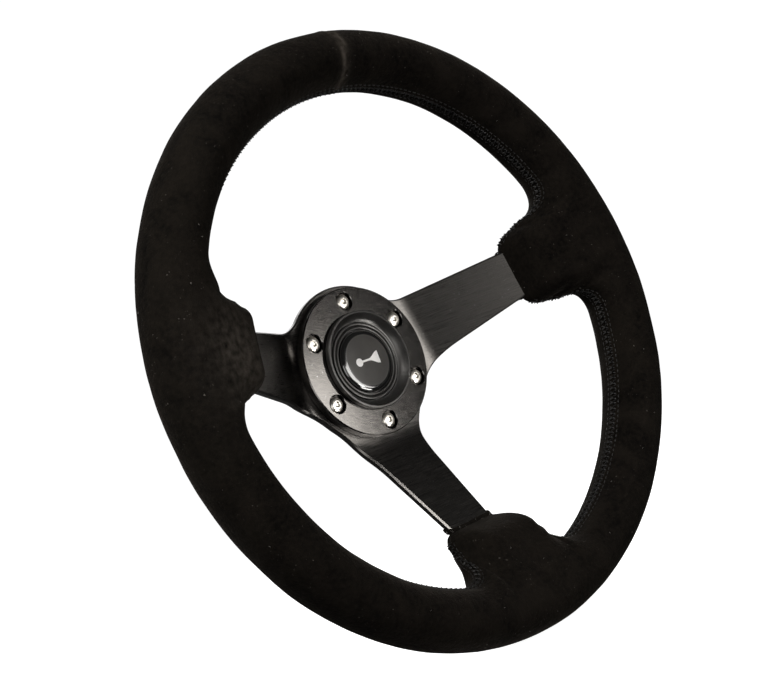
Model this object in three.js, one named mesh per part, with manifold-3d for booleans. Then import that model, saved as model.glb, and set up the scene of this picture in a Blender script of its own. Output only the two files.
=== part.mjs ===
// A 350 mm deep-dish three-spoke steering wheel with a horn button, in millimetres.
//
// Everything is modelled in a front view and then tipped upright by one group:
//   x to the driver's right, y towards 12 o'clock, z out of the hub towards the driver.
// z = 0 is the back face of the hub plate, the face that bolts to the steering hub.
// The exported group has +Z at 12 o'clock and +Y away from the driver.

import * as THREE from 'three';
import { mergeVertices } from 'three/addons/utils/BufferGeometryUtils.js';
import Module from 'manifold-3d';

const wasm = await Module();
wasm.setup();

const TURN = 2 * Math.PI;
const DEG = Math.PI / 180;
const GAP = 0.3; // between pieces that rest on each other

// ---- driving dimensions ----

// Rim grip
const WHEEL_D = 350;
const GRIP_RADIAL = 32.4; // grip width seen from the front
const GRIP_AXIAL = 38.6; // grip depth seen from the side
const RIM_Z = 71.2; // grip centre plane in front of the hub face
const GRIP_POWER = 2.1; // superellipse power of the grip section
const COVER_T = 1.2; // suede over the foam

// Spoke plate
const PLATE_T = 4.5;
const HUB_R = 48;
const UPPER_FILLET_R = 20; // between the side spokes, over the hub
const LOWER_FILLET_R = 60; // between a side spoke and the lower one
const SPOKE_RISE = 10.2 * DEG; // of the two side spokes above level
const SPOKE_HALF_AT_HUB = 21.3;
const SPOKE_HALF_AT_RIM = 12;
const HUB_BEND_S = 49; // where the spoke leaves the hub plane
const HUB_BEND_R = 24;
const RIM_BEND_S = 149; // where it lies flat again, inside the grip
const RIM_BEND_R = 15;
const BEND_STEPS = 6;
const TAB_END_S = 164;
const TAB_CORNER_R = 5;
const HUB_FLAT_S = 42; // flat in every spoke's direction at least this far out
const STRIP_WIDTH = 90; // of the bent strips that the spokes are cut from
const STRIP_OVERLAP = 0.2; // of the strips and the flat middle

// Grip bosses around the spokes
const MOUTH_S = 108.5; // distance of a boss's mouth from the wheel axis
const BOSS_FRONT_DROP = 20; // how far the driver's side has dropped back at the mouth
const BOSS_BACK_DROP = 14;
const BOSS_ROUNDING = 10; // edge rounding at the mouth
const BOSS_HALF = 24; // half the boss's width at its mouth
const BOSS_FLARE = 2.5; // how much wider each flank stands at the plain grip
const BOSS_CORNER_R = 11; // at the mouth
const BOSS_FILLET_R = 14; // where a flank runs into the plain grip
const BOSS_FULL_SHARE = 0.8; // a section this share of the deepest one has the boss's full form
const FRONT_DROP_POWER = 1.3; // how late the driver's side drops towards the mouth
const BACK_DROP_POWER = 1.5;
const ROUNDING_RANGE = [0.3, 0.8]; // shares of the way in between which the rounding tightens
const BEND_SOFTNESS = 6; // of the grip's middle surface where it follows the rim bend
const GRIP_SIDES = 12;
const STATION_STEP = 11 * DEG; // between sections of the plain grip
const SLOT_GAP = 0.35; // foam and suede to the spoke
const SLOT_START_S = MOUTH_S - 20; // the slots start outside the mouths
const HEM_T = 1.3;
const HEM_LENGTH = { right: 1.6, left: 1.6, lower: 2.6 };
const HEM_FROM_MOUTH = 2;

// Rim core and rivets
const CORE_INNER_R = 151;
const CORE_OUTER_R = 166;
const CORE_T = 5;
const RIVET_S = 158.5;
const RIVET_OFFSET = 8;
const RIVET_R = 2.2;
const RIVET_HEAD_R = 4;
const RIVET_HEAD_H = 2;
const RIVET_CROWN_R = 2.4;
const RIVET_HEAD_EDGE = 0.5;

// Retaining ring and its screws
const RING_R = 45;
const RING_T = 6;
const RING_CHAMFER = 0.6;
const CENTRE_HOLE_R = 27;
const BOLT_CIRCLE_R = 37;
const SCREW_COUNT = 6;
const SCREW_R = 2.5;
const SCREW_HEAD_R = 4.75;
const SCREW_HEAD_H = 2.75;
const SCREW_CROWN_R = 2.4;
const SCREW_TIP_CHAMFER = 0.5;
const SCREW_BEHIND = 8; // thread standing out behind the hub face
const SOCKET_ACROSS_FLATS = 3;
const SOCKET_DEPTH = 1.6;
const COUNTERBORE_R = 5.6;
const COUNTERBORE_DEPTH = 3.3;
const SCREW_HOLE_R = 2.8;

// Horn button
const BEZEL_R = 29.6;
const BEZEL_PROUD = 3.3; // bezel rim above the ring face
const BEZEL_LIP_R = 23.7;
const BEZEL_RIM_FLAT = 1.4;
const BEZEL_HOLLOW_POWER = 1.7;
const BEZEL_STEPS = 5;
const CUP_R = 26.7; // horn cup in the centre hole
const CUP_INNER_R = 24.9;
const CUP_DEPTH = 9; // cup floor behind the hub face
const CUP_WALL = 2;
const CUP_NECK_R = 26.2;
const CAP_R = 23.3;
const CAP_FLANGE_T = 1.7;
const RIDGE_W = 1.1;
const RIDGE_H = 1;
const RIDGE_EDGE = 0.4;
const DOME_R = 18.9;
const DOME_CROWN_R = 14.5; // nearly flat inside this radius
const DOME_CROWN_H = 0.25;
const HORN_TRAVEL = 2.2;
const CONTACT_T = 0.8;
const MOVING_CONTACT_R = 20;
const FIXED_CONTACT = { inner: 11, outer: 21 };
const INSULATOR_T = 1.8;
const INSULATOR_HOLE_R = 9;
const CLIP_R = 0.75;
const CLIP_RING_R = 27.2;
const SPRING_WIRE_R = 0.6;
const SPRING_COIL_R = 6;
const SPRING_TURNS = 5;
const BLADE_WIDTH = 6.3;
const BLADE_T = 0.8;
const BLADE_BEHIND = 8.5; // blade standing out behind the cup
const BLADE_CHAMFER = 1.2;
const BLADE_HOLE_R = 0.9;
const BLADE_HOLE_FROM_TIP = 4;
const TERMINALS = [{ name: 'horn_terminal_live', y: 14 }, { name: 'horn_terminal_earth', y: -14 }];

const RING_BACK = PLATE_T + GAP;
const RING_FACE = RING_BACK + RING_T;
const GRIP_R = (WHEEL_D - GRIP_RADIAL) / 2; // radius of the grip's centre line
const GRIP_INNER_R = WHEEL_D / 2 - GRIP_RADIAL;
const SPOKE_ANGLES = { right: SPOKE_RISE, left: Math.PI - SPOKE_RISE, lower: -Math.PI / 2 };
const TAB_MID_Z = RIM_Z - 1.5;
const SPOKE_SLOPE = (TAB_MID_Z - PLATE_T / 2) / (RIM_BEND_S - HUB_BEND_S); // rise towards the driver
const CORE_BACK = TAB_MID_Z + PLATE_T / 2 + GAP;
const CORE_FACE = CORE_BACK + CORE_T;
const RIVET_MID_Z = (CORE_FACE + TAB_MID_Z - PLATE_T / 2) / 2;
const GRIP_FRONT_Z = RIM_Z + GRIP_AXIAL / 2;

// Heights in the horn button, from its lip back to its cup
const BEZEL_RIM_Z = RING_FACE + GAP + BEZEL_PROUD;
const BEZEL_LIP_Z = RING_FACE - 1.6;
const LIP_BACK_Z = RING_FACE - 3.6;
const CAP_CREST_Z = RING_FACE - 0.9;
const CAP_FLANGE_Z = LIP_BACK_Z - GAP;
const CAP_FLOOR_Z = CAP_FLANGE_Z - CAP_FLANGE_T;
const DOME_SEAT_Z = CAP_FLANGE_Z + 0.5;
const DOME_EDGE_Z = RING_FACE - 1.6;
const DOME_CROWN_Z = RING_FACE + 0.3;
const MOVING_CONTACT_Z = CAP_FLOOR_Z - GAP; // front faces of the flat pieces
const FIXED_CONTACT_Z = MOVING_CONTACT_Z - CONTACT_T - HORN_TRAVEL - GAP;
const INSULATOR_Z = FIXED_CONTACT_Z - CONTACT_T - GAP;
const CUP_SHOULDER_Z = INSULATOR_Z - INSULATOR_T - GAP;
const CUP_TOP_Z = INSULATOR_Z + 0.6;
const BLADE_FRONT_Z = CUP_SHOULDER_Z - 0.1;

// ---- materials ----

const SUEDE = new THREE.MeshStandardMaterial({ color: 0x1b1917, roughness: 0.97, metalness: 0 });
const FOAM = new THREE.MeshStandardMaterial({ color: 0x2b2b2d, roughness: 0.9, metalness: 0 });
const ANODISED = new THREE.MeshStandardMaterial({ color: 0x1f1f20, roughness: 0.38, metalness: 0.85 });
const CORE_STEEL = new THREE.MeshStandardMaterial({ color: 0x77797c, roughness: 0.5, metalness: 0.9 });
const RIVET_STEEL = new THREE.MeshStandardMaterial({ color: 0x9a9c9f, roughness: 0.4, metalness: 0.95 });
const SCREW_STEEL = new THREE.MeshStandardMaterial({ color: 0xc9c8c4, roughness: 0.3, metalness: 0.95 });
const SATIN_BLACK = new THREE.MeshStandardMaterial({ color: 0x191919, roughness: 0.42, metalness: 0 });
const GLOSS_BLACK = new THREE.MeshStandardMaterial({ color: 0x0c0c0d, roughness: 0.06, metalness: 0 });
const HOUSING_BLACK = new THREE.MeshStandardMaterial({ color: 0x202022, roughness: 0.6, metalness: 0 });
const INSULATOR = new THREE.MeshStandardMaterial({ color: 0x8a5a33, roughness: 0.6, metalness: 0 });
const CONTACT_BRASS = new THREE.MeshStandardMaterial({ color: 0xb5974f, roughness: 0.35, metalness: 0.95 });
const SPRING_STEEL = new THREE.MeshStandardMaterial({ color: 0x8d9094, roughness: 0.35, metalness: 0.95 });

// ---- helpers ----

/** Turns a closed three.js geometry into a solid that can be joined and cut. */
function solid(geometry) {
  const bare = geometry.clone();
  bare.deleteAttribute('normal');
  bare.deleteAttribute('uv');
  const merged = mergeVertices(bare, 1e-4);
  const kept = [];
  const index = merged.index.array;
  for (let i = 0; i < index.length; i += 3) {
    const [a, b, c] = [index[i], index[i + 1], index[i + 2]];
    if (a !== b && b !== c && c !== a) kept.push(a, b, c);
  }
  const vertProperties = new Float32Array(merged.attributes.position.array);
  return new wasm.Manifold(new wasm.Mesh({ numProp: 3, vertProperties, triVerts: new Uint32Array(kept) }));
}

/** Turns a solid back into a three.js geometry. */
function geometryOf(body) {
  const mesh = body.getMesh();
  const geometry = new THREE.BufferGeometry();
  geometry.setAttribute('position', new THREE.BufferAttribute(new Float32Array(mesh.vertProperties), 3));
  geometry.setIndex(new THREE.BufferAttribute(new Uint32Array(mesh.triVerts), 1));
  geometry.computeVertexNormals();
  return geometry;
}

/** Cuts every tool solid out of a body. */
function cut(body, tools) {
  return tools.reduce((left, tool) => left.subtract(tool), body);
}

/** Revolves a closed outline of [radius, z] points about the wheel's axis. */
function revolve(outline, segments) {
  const points = outline.map(([r, z]) => new THREE.Vector2(r, z));
  if (THREE.ShapeUtils.area(points) < 0) points.reverse();
  const onAxis = points.filter((p) => p.x === 0).length > 0;
  if (onAxis) {
    while (points[0].x !== 0 || points[points.length - 1].x !== 0) points.push(points.shift());
  } else {
    points.push(points[0].clone());
  }
  return new THREE.LatheGeometry(points, segments).rotateX(Math.PI / 2);
}

/** A cylinder standing along z. */
function post(radius, fromZ, toZ, segments) {
  const height = toZ - fromZ;
  const geometry = new THREE.CylinderGeometry(radius, radius, height, segments);
  return geometry.rotateX(Math.PI / 2).translate(0, 0, (fromZ + toZ) / 2);
}

/** Points of an arc about a centre, both ends included. */
function arc(centreX, centreY, radius, fromAngle, toAngle, steps) {
  return Array.from({ length: steps + 1 }, (_, i) => {
    const angle = fromAngle + ((toAngle - fromAngle) * i) / steps;
    return [centreX + radius * Math.cos(angle), centreY + radius * Math.sin(angle)];
  });
}

function shapeOf(points) {
  return new THREE.Shape(points.map(([x, y]) => new THREE.Vector2(x, y)));
}

function smooth(edge0, edge1, x) {
  return THREE.MathUtils.smoothstep(x, edge0, edge1);
}

function turned([x, y], angle) {
  return [x * Math.cos(angle) - y * Math.sin(angle), x * Math.sin(angle) + y * Math.cos(angle)];
}

function named(name, geometry, material) {
  const mesh = new THREE.Mesh(geometry, material.clone());
  mesh.name = name;
  return mesh;
}

// ---- spoke plate ----

const TAPER = Math.atan((SPOKE_HALF_AT_HUB - SPOKE_HALF_AT_RIM) / (RIM_BEND_S - HUB_BEND_S));

/** Half the spoke's width at a distance from the wheel's axis. */
function spokeHalf(s) {
  return SPOKE_HALF_AT_HUB - (s - HUB_BEND_S) * Math.tan(TAPER);
}

/** Height of the plate's middle on a spoke's straight part. */
function spokeMidZ(s) {
  return PLATE_T / 2 + (s - HUB_BEND_S) * SPOKE_SLOPE;
}

/** Middle line of a spoke seen from the side, as [s, z, surface angle]. */
function spokeLine(startS) {
  const slope = Math.atan(SPOKE_SLOPE);
  const hubBendS = HUB_BEND_S - HUB_BEND_R * Math.tan(slope / 2);
  const hubBendZ = PLATE_T / 2 + HUB_BEND_R;
  const rimBendS = RIM_BEND_S + RIM_BEND_R * Math.tan(slope / 2);
  const rimBendZ = TAB_MID_Z - RIM_BEND_R;
  const line = [];
  if (startS < hubBendS) {
    line.push([startS, PLATE_T / 2, 0]);
    const bend = arc(hubBendS, hubBendZ, HUB_BEND_R, -Math.PI / 2, slope - Math.PI / 2, BEND_STEPS);
    line.push(...bend.map(([s, z]) => [s, z, Math.acos((hubBendZ - z) / HUB_BEND_R)]));
  } else {
    line.push([startS, spokeMidZ(startS), slope]);
  }
  const bend = arc(rimBendS, rimBendZ, RIM_BEND_R, slope + Math.PI / 2, Math.PI / 2, BEND_STEPS);
  line.push(...bend.map(([s, z]) => [s, z, Math.acos((z - rimBendZ) / RIM_BEND_R)]));
  return line;
}

/** The bent strip that a spoke is cut from, grown by a clearance. */
function spokeStrip(angle, startS, width, clearance) {
  const line = spokeLine(startS);
  line.push([TAB_END_S + clearance, TAB_MID_Z, 0]);
  const half = PLATE_T / 2 + clearance;
  const face = (up) => line.map(([s, z, a]) => [s - up * half * Math.sin(a), z + up * half * Math.cos(a)]);
  const outline = shapeOf([...face(-1), ...face(1).reverse()]);
  const strip = new THREE.ExtrudeGeometry(outline, { depth: width, bevelEnabled: false });
  return solid(strip.translate(0, 0, -width / 2).rotateX(Math.PI / 2).rotateZ(angle));
}

/** One spoke's outline in front view, grown by a clearance. */
function spokePlan(angle, startS, clearance) {
  const endS = TAB_END_S + clearance;
  const endHalf = spokeHalf(TAB_END_S) + clearance;
  const cornerS = endS - TAB_CORNER_R;
  const side = [
    [startS, spokeHalf(startS) + clearance],
    ...arc(cornerS, endHalf - TAB_CORNER_R, TAB_CORNER_R, Math.PI / 2, 0, 4),
  ];
  const other = side.map(([s, h]) => [s, -h]).reverse();
  return shapeOf([...side, ...other].reverse().map((p) => turned(p, angle)));
}

/** One flank of a spoke, from its tip to the hub circle, and the angle where it gets there. */
function spokeFlank(filletR) {
  const lineOffset = HUB_BEND_S * Math.sin(TAPER) + SPOKE_HALF_AT_HUB * Math.cos(TAPER);
  const reach = Math.sqrt((HUB_R + filletR) ** 2 - (lineOffset + filletR) ** 2);
  const [centreS, centreH] = turned([reach, lineOffset + filletR], -TAPER);
  const hubAngle = Math.atan2(centreH, centreS);
  const cornerS = TAB_END_S - TAB_CORNER_R;
  const cornerH = spokeHalf(TAB_END_S) - TAB_CORNER_R;
  const corner = arc(cornerS, cornerH, TAB_CORNER_R, 0, Math.PI / 2, 4);
  const fillet = arc(centreS, centreH, filletR, -Math.PI / 2 - TAPER, hubAngle - Math.PI, 8);
  return { hubAngle, points: [...corner, ...fillet] };
}

/** The plate seen from the front: a round hub and three tapering spokes with filleted roots. */
function platePlan() {
  const lower = spokeFlank(LOWER_FILLET_R);
  const upper = spokeFlank(UPPER_FILLET_R);
  const spokes = [[SPOKE_ANGLES.lower, lower, lower], [SPOKE_ANGLES.right, lower, upper],
    [SPOKE_ANGLES.left, upper, lower]];
  const points = [];
  spokes.forEach(([angle, before, after], i) => {
    const nearSide = before.points.map(([s, h]) => [s, -h]).reverse();
    points.push(...[...nearSide, ...after.points].map((p) => turned(p, angle)));
    const next = spokes[(i + 1) % spokes.length][0] + (i === spokes.length - 1 ? TURN : 0);
    const hubSteps = Math.round((next - angle - 2 * after.hubAngle) / (8 * DEG));
    const hubArc = arc(0, 0, HUB_R, angle + after.hubAngle, next - after.hubAngle, Math.max(hubSteps, 2));
    points.push(...hubArc.slice(1, -1));
  });
  const plan = shapeOf(points);
  plan.holes.push(shapeOf(arc(0, 0, CENTRE_HOLE_R, 0, TURN, 48).slice(0, -1).reverse()));
  return plan;
}

function screwPlaces() {
  return Array.from({ length: SCREW_COUNT }, (_, i) => {
    const angle = Math.PI / 2 - (i * TURN) / SCREW_COUNT;
    return [BOLT_CIRCLE_R * Math.cos(angle), BOLT_CIRCLE_R * Math.sin(angle)];
  });
}

function rivetPlaces() {
  const pair = [[RIVET_S, RIVET_OFFSET], [RIVET_S, -RIVET_OFFSET]];
  return Object.values(SPOKE_ANGLES).flatMap((angle) => pair.map((place) => turned(place, angle)));
}

/** One round solid at each place, all of them from one height to another. */
function postsAt(places, radius, fromZ, toZ, segments) {
  return places.map(([x, y]) => solid(post(radius, fromZ, toZ, segments).translate(x, y, 0)));
}

/** Corners of the flat middle: where the lines that start neighbouring spokes meet. */
function hubCorners() {
  const reach = HUB_FLAT_S + STRIP_OVERLAP;
  const starts = Object.values(SPOKE_ANGLES).sort((a, b) => a - b).map((angle) => turned([reach, 0], angle));
  return starts.map((p, i) => {
    const q = starts[(i + 1) % starts.length];
    const det = p[0] * q[1] - p[1] * q[0];
    return [(reach ** 2 * (q[1] - p[1])) / det, (reach ** 2 * (p[0] - q[0])) / det];
  });
}

function spokePlate() {
  const prism = new THREE.ExtrudeGeometry(platePlan(), { depth: 2 * GRIP_FRONT_Z, bevelEnabled: false });
  prism.translate(0, 0, -GRIP_FRONT_Z / 2);
  let sheet = solid(new THREE.ExtrudeGeometry(shapeOf(hubCorners()), { depth: PLATE_T, bevelEnabled: false }));
  for (const angle of Object.values(SPOKE_ANGLES)) {
    sheet = sheet.add(spokeStrip(angle, HUB_FLAT_S, STRIP_WIDTH, 0));
  }
  const screwHoles = postsAt(screwPlaces(), SCREW_HOLE_R, -1, PLATE_T + 1, 14);
  const rivetHoles = postsAt(rivetPlaces(), RIVET_R + GAP, TAB_MID_Z - PLATE_T, TAB_MID_Z + PLATE_T, 10);
  return geometryOf(cut(sheet.intersect(solid(prism)), [...screwHoles, ...rivetHoles]));
}

// ---- rim core and rivets ----

function rimCore() {
  const ring = solid(revolve([[CORE_INNER_R, CORE_BACK], [CORE_OUTER_R, CORE_BACK],
    [CORE_OUTER_R, CORE_FACE], [CORE_INNER_R, CORE_FACE]], 60));
  return geometryOf(cut(ring, postsAt(rivetPlaces(), RIVET_R + GAP, CORE_BACK - 1, CORE_FACE + 1, 10)));
}

/** A rivet with a domed head at each end, its middle at z = 0. */
function rivet() {
  const inside = (CORE_FACE - (TAB_MID_Z - PLATE_T / 2)) / 2 + GAP;
  const outside = inside + RIVET_HEAD_H;
  const upper = [[RIVET_R, inside], [RIVET_HEAD_R, inside], [RIVET_HEAD_R, inside + RIVET_HEAD_EDGE],
    [RIVET_CROWN_R, outside], [0, outside]];
  const lower = upper.map(([r, z]) => [r, -z]).reverse();
  return revolve([...lower, ...upper], 10);
}

// ---- grip: foam, suede cover and hems ----

/** Half of a boss's inner outline in the spoke's frame, from the mouth's middle to the plain grip. */
function bossOutline() {
  const filletH = BOSS_HALF + BOSS_FLARE + BOSS_FILLET_R;
  const filletS = Math.sqrt((GRIP_INNER_R - BOSS_FILLET_R) ** 2 - filletH ** 2);
  const cornerH = BOSS_HALF - BOSS_CORNER_R;
  const corner = arc(MOUTH_S + BOSS_CORNER_R, cornerH, BOSS_CORNER_R, Math.PI, Math.PI / 2, 3);
  const fillet = arc(filletS, filletH, BOSS_FILLET_R, -Math.PI / 2, Math.atan2(filletH, filletS), 3);
  return [[MOUTH_S, 0], ...corner, ...fillet];
}

/**
 * Stations round the grip. Each has its place on the grip's centre line and the innermost point
 * that its section reaches, which is the boss's outline near a spoke and the plain radius elsewhere.
 */
function gripStations() {
  const outline = bossOutline();
  const [lastS, lastH] = outline[outline.length - 1];
  const bossAngle = Math.atan2(lastH, lastS);
  const lengths = outline.map((point, i) => (i === 0 ? 0 : Math.hypot(
    point[0] - outline[i - 1][0], point[1] - outline[i - 1][1])));
  const total = lengths.reduce((sum, length) => sum + length, 0);
  const stations = [];
  const order = Object.values(SPOKE_ANGLES).sort((a, b) => a - b);
  order.forEach((spoke, i) => {
    let walked = 0;
    const half = outline.map(([s, h], k) => {
      walked += lengths[k];
      return { off: (walked / total) * bossAngle, s, h };
    });
    const both = [...half.slice(1).reverse().map(({ off, s, h }) => ({ off: -off, s, h: -h })), ...half];
    for (const { off, s, h } of both) stations.push({ angle: spoke + off, inner: turned([s, h], spoke), spoke });
    const next = i + 1 < order.length ? order[i + 1] : order[0] + TURN;
    const gap = next - spoke - 2 * bossAngle;
    const parts = Math.round(gap / STATION_STEP);
    for (let k = 1; k < parts; k += 1) {
      const angle = spoke + bossAngle + (gap * k) / parts;
      stations.push({ angle, inner: turned([GRIP_INNER_R, 0], angle), spoke });
    }
  });
  return stations;
}

/** Distance in front view from a point to the grip's inner outline. */
function toInnerOutline(stations, x, y) {
  let nearest = Infinity;
  stations.forEach(({ inner: [ax, ay] }, i) => {
    const [bx, by] = stations[(i + 1) % stations.length].inner;
    const along = ((x - ax) * (bx - ax) + (y - ay) * (by - ay)) / ((bx - ax) ** 2 + (by - ay) ** 2);
    const t = THREE.MathUtils.clamp(along, 0, 1);
    nearest = Math.min(nearest, Math.hypot(ax + (bx - ax) * t - x, ay + (by - ay) * t - y));
  });
  return nearest;
}

/** A point of a station's section: phi runs round the grip, 0 at the outside of the wheel. */
function gripPoint(stations, { angle, inner, spoke }, phi) {
  const power = (value) => Math.sign(value) * Math.abs(value) ** (2 / GRIP_POWER);
  const outward = power(Math.cos(phi)) * (GRIP_RADIAL / 2);
  if (outward >= 0) {
    const [x, y] = turned([GRIP_R + outward, 0], angle);
    return [x, y, RIM_Z + (power(Math.sin(phi)) * GRIP_AXIAL) / 2];
  }
  const [middleX, middleY] = turned([GRIP_R, 0], angle);
  const depth = Math.hypot(inner[0] - middleX, inner[1] - middleY);
  const bossDepth = GRIP_R - MOUTH_S;
  const boss = smooth(GRIP_RADIAL / 2, bossDepth * BOSS_FULL_SHARE, depth);
  const share = power(-Math.cos(phi));
  const x = middleX + (inner[0] - middleX) * share;
  const y = middleY + (inner[1] - middleY) * share;
  const inward = (share * depth) / bossDepth;
  const front = RIM_Z + GRIP_AXIAL / 2 - boss * BOSS_FRONT_DROP * inward ** FRONT_DROP_POWER;
  const back = RIM_Z - GRIP_AXIAL / 2 - boss * BOSS_BACK_DROP * inward ** BACK_DROP_POWER;
  const toSpoke = RIM_BEND_S - (x * Math.cos(spoke) + y * Math.sin(spoke));
  const ramp = (toSpoke + Math.hypot(toSpoke, BEND_SOFTNESS)) / 2;
  const middle = RIM_Z - boss * (SPOKE_SLOPE * ramp + RIM_Z - TAB_MID_Z);
  const tightened = smooth(...ROUNDING_RANGE, inward);
  const rounding = THREE.MathUtils.lerp(GRIP_RADIAL / 2, BOSS_ROUNDING, tightened);
  const uncovered = Math.max(1 - toInnerOutline(stations, x, y) / rounding, 0);
  const fullness = Math.max(1 - uncovered ** GRIP_POWER, 0) ** (1 / GRIP_POWER);
  return [x, y, middle + (Math.sin(phi) > 0 ? front - middle : back - middle) * fullness];
}

/** The grip's surface moved inwards by an inset, as one closed solid. */
function gripSolid(inset) {
  const stations = gripStations();
  const positions = [];
  for (const station of stations) {
    for (let j = 0; j < GRIP_SIDES; j += 1) {
      positions.push(...gripPoint(stations, station, ((j + 0.5) * TURN) / GRIP_SIDES));
    }
  }
  const index = [];
  stations.forEach((_, i) => {
    const here = i * GRIP_SIDES;
    const there = ((i + 1) % stations.length) * GRIP_SIDES;
    for (let j = 0; j < GRIP_SIDES; j += 1) {
      const k = (j + 1) % GRIP_SIDES;
      index.push(here + j, there + j, there + k, here + j, there + k, here + k);
    }
  });
  const geometry = new THREE.BufferGeometry();
  geometry.setAttribute('position', new THREE.Float32BufferAttribute(positions, 3));
  geometry.setIndex(index);
  geometry.computeVertexNormals();
  const { position, normal } = geometry.attributes;
  for (let i = 0; i < position.count; i += 1) {
    position.setXYZ(i, position.getX(i) - inset * normal.getX(i), position.getY(i) - inset * normal.getY(i),
      position.getZ(i) - inset * normal.getZ(i));
  }
  return solid(geometry);
}

/** The room that a spoke needs where it passes into the grip. */
function spokeRoom(angle) {
  const plan = spokePlan(angle, SLOT_START_S, SLOT_GAP);
  const prism = new THREE.ExtrudeGeometry(plan, { depth: GRIP_FRONT_Z, bevelEnabled: false });
  return solid(prism).intersect(spokeStrip(angle, SLOT_START_S, STRIP_WIDTH, SLOT_GAP));
}

function spokeRooms() {
  return Object.values(SPOKE_ANGLES).map(spokeRoom);
}

/** Foam moulded round the core ring, the rivets and the ends of the spokes. */
function rimFoam() {
  const coreRoom = solid(revolve([[CORE_INNER_R - GAP, CORE_BACK - GAP], [CORE_OUTER_R + GAP, CORE_BACK - GAP],
    [CORE_OUTER_R + GAP, CORE_FACE + GAP], [CORE_INNER_R - GAP, CORE_FACE + GAP]], 60));
  const reach = CORE_FACE - RIVET_MID_Z + RIVET_HEAD_H + 2 * GAP;
  const rivetRoom = postsAt(rivetPlaces(), RIVET_HEAD_R + GAP, RIVET_MID_Z - reach, RIVET_MID_Z + reach, 10);
  return geometryOf(cut(gripSolid(COVER_T + 2 * GAP), [coreRoom, ...spokeRooms(), ...rivetRoom]));
}

/** Suede skin over the foam, open only where the spokes pass through. */
function rimCover() {
  return geometryOf(cut(gripSolid(0), [gripSolid(COVER_T), ...spokeRooms()]));
}

/** The turned edge of the suede where it closes round a spoke. */
function hem(angle, length) {
  const mouthS = MOUTH_S - GAP;
  const endS = mouthS - HEM_FROM_MOUTH;
  const width = 2 * (spokeHalf(mouthS) + SLOT_GAP + HEM_T);
  const thickness = PLATE_T + 2 * (SLOT_GAP + HEM_T);
  const block = new THREE.BoxGeometry(length, width, thickness).translate(-length / 2, 0, 0);
  block.rotateY(-Math.atan(SPOKE_SLOPE)).translate(endS, 0, spokeMidZ(endS)).rotateZ(angle);
  return geometryOf(solid(block).subtract(spokeRoom(angle)));
}

// ---- retaining ring and screws ----

function retainingRing() {
  const ring = solid(revolve([[CENTRE_HOLE_R, RING_BACK], [RING_R, RING_BACK],
    [RING_R, RING_FACE - RING_CHAMFER], [RING_R - RING_CHAMFER, RING_FACE], [CENTRE_HOLE_R, RING_FACE]], 56));
  const holes = postsAt(screwPlaces(), SCREW_HOLE_R, 0, RING_FACE + 1, 14);
  const bores = postsAt(screwPlaces(), COUNTERBORE_R, RING_FACE - COUNTERBORE_DEPTH, RING_FACE + 1, 18);
  return geometryOf(cut(ring, [...holes, ...bores]));
}

/** A button-head screw with a hexagon socket, the underside of its head at z = 0. */
function screw() {
  const shank = RING_FACE - COUNTERBORE_DEPTH + GAP + SCREW_BEHIND;
  const rimH = SCREW_HEAD_H / 4; // upright part of the head's side
  const dome = [30, 60, 90].map((degrees) => [
    SCREW_CROWN_R + (SCREW_HEAD_R - SCREW_CROWN_R) * Math.cos(degrees * DEG),
    rimH + (SCREW_HEAD_H - rimH) * Math.sin(degrees * DEG),
  ]);
  const body = solid(revolve([[0, -shank], [SCREW_R - SCREW_TIP_CHAMFER, -shank],
    [SCREW_R, -shank + SCREW_TIP_CHAMFER], [SCREW_R, 0], [SCREW_HEAD_R, 0], [SCREW_HEAD_R, rimH], ...dome,
    [0, SCREW_HEAD_H]], 16));
  const socketR = SOCKET_ACROSS_FLATS / 2 / Math.cos(30 * DEG);
  const socket = solid(post(socketR, SCREW_HEAD_H - SOCKET_DEPTH, SCREW_HEAD_H + 1, 6));
  return geometryOf(body.subtract(socket));
}

// ---- horn button ----

/** Satin bezel: a rim standing on the ring, a hollow slope down to a lip, and a skirt in the hole. */
function hornBezel() {
  const flatR = BEZEL_R - BEZEL_RIM_FLAT;
  const slope = Array.from({ length: BEZEL_STEPS + 1 }, (_, i) => {
    const t = i / BEZEL_STEPS;
    const fall = (1 - t) ** BEZEL_HOLLOW_POWER;
    return [THREE.MathUtils.lerp(flatR, BEZEL_LIP_R, t), THREE.MathUtils.lerp(BEZEL_LIP_Z, BEZEL_RIM_Z, fall)];
  });
  return revolve([[CUP_R, CUP_TOP_Z + GAP], [CUP_R, RING_FACE + GAP], [BEZEL_R, RING_FACE + GAP],
    [BEZEL_R, BEZEL_RIM_Z - 0.6], [BEZEL_R - 0.5, BEZEL_RIM_Z], ...slope, [BEZEL_LIP_R, LIP_BACK_Z],
    [CUP_INNER_R, LIP_BACK_Z], [CUP_INNER_R, CUP_TOP_Z + GAP]], 32);
}

/** Cup behind the bezel that carries the fixed contact, with slots for the two terminals. */
function hornCup() {
  const back = -CUP_DEPTH;
  const shelfR = CUP_INNER_R - CUP_WALL;
  const cup = solid(revolve([[0, back], [CUP_NECK_R - 0.8, back], [CUP_NECK_R, back + 0.8], [CUP_NECK_R, -GAP],
    [CUP_R, GAP], [CUP_R, CUP_TOP_Z], [CUP_INNER_R, CUP_TOP_Z], [CUP_INNER_R, CUP_SHOULDER_Z],
    [shelfR, CUP_SHOULDER_Z], [shelfR, back + CUP_WALL], [0, back + CUP_WALL]], 32));
  const slots = TERMINALS.map(({ y }) => {
    const slot = new THREE.BoxGeometry(BLADE_WIDTH + 2 * GAP, BLADE_T + 2 * GAP, 3 * CUP_WALL);
    return solid(slot.translate(0, y, back));
  });
  return geometryOf(cut(cup, slots));
}

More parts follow.
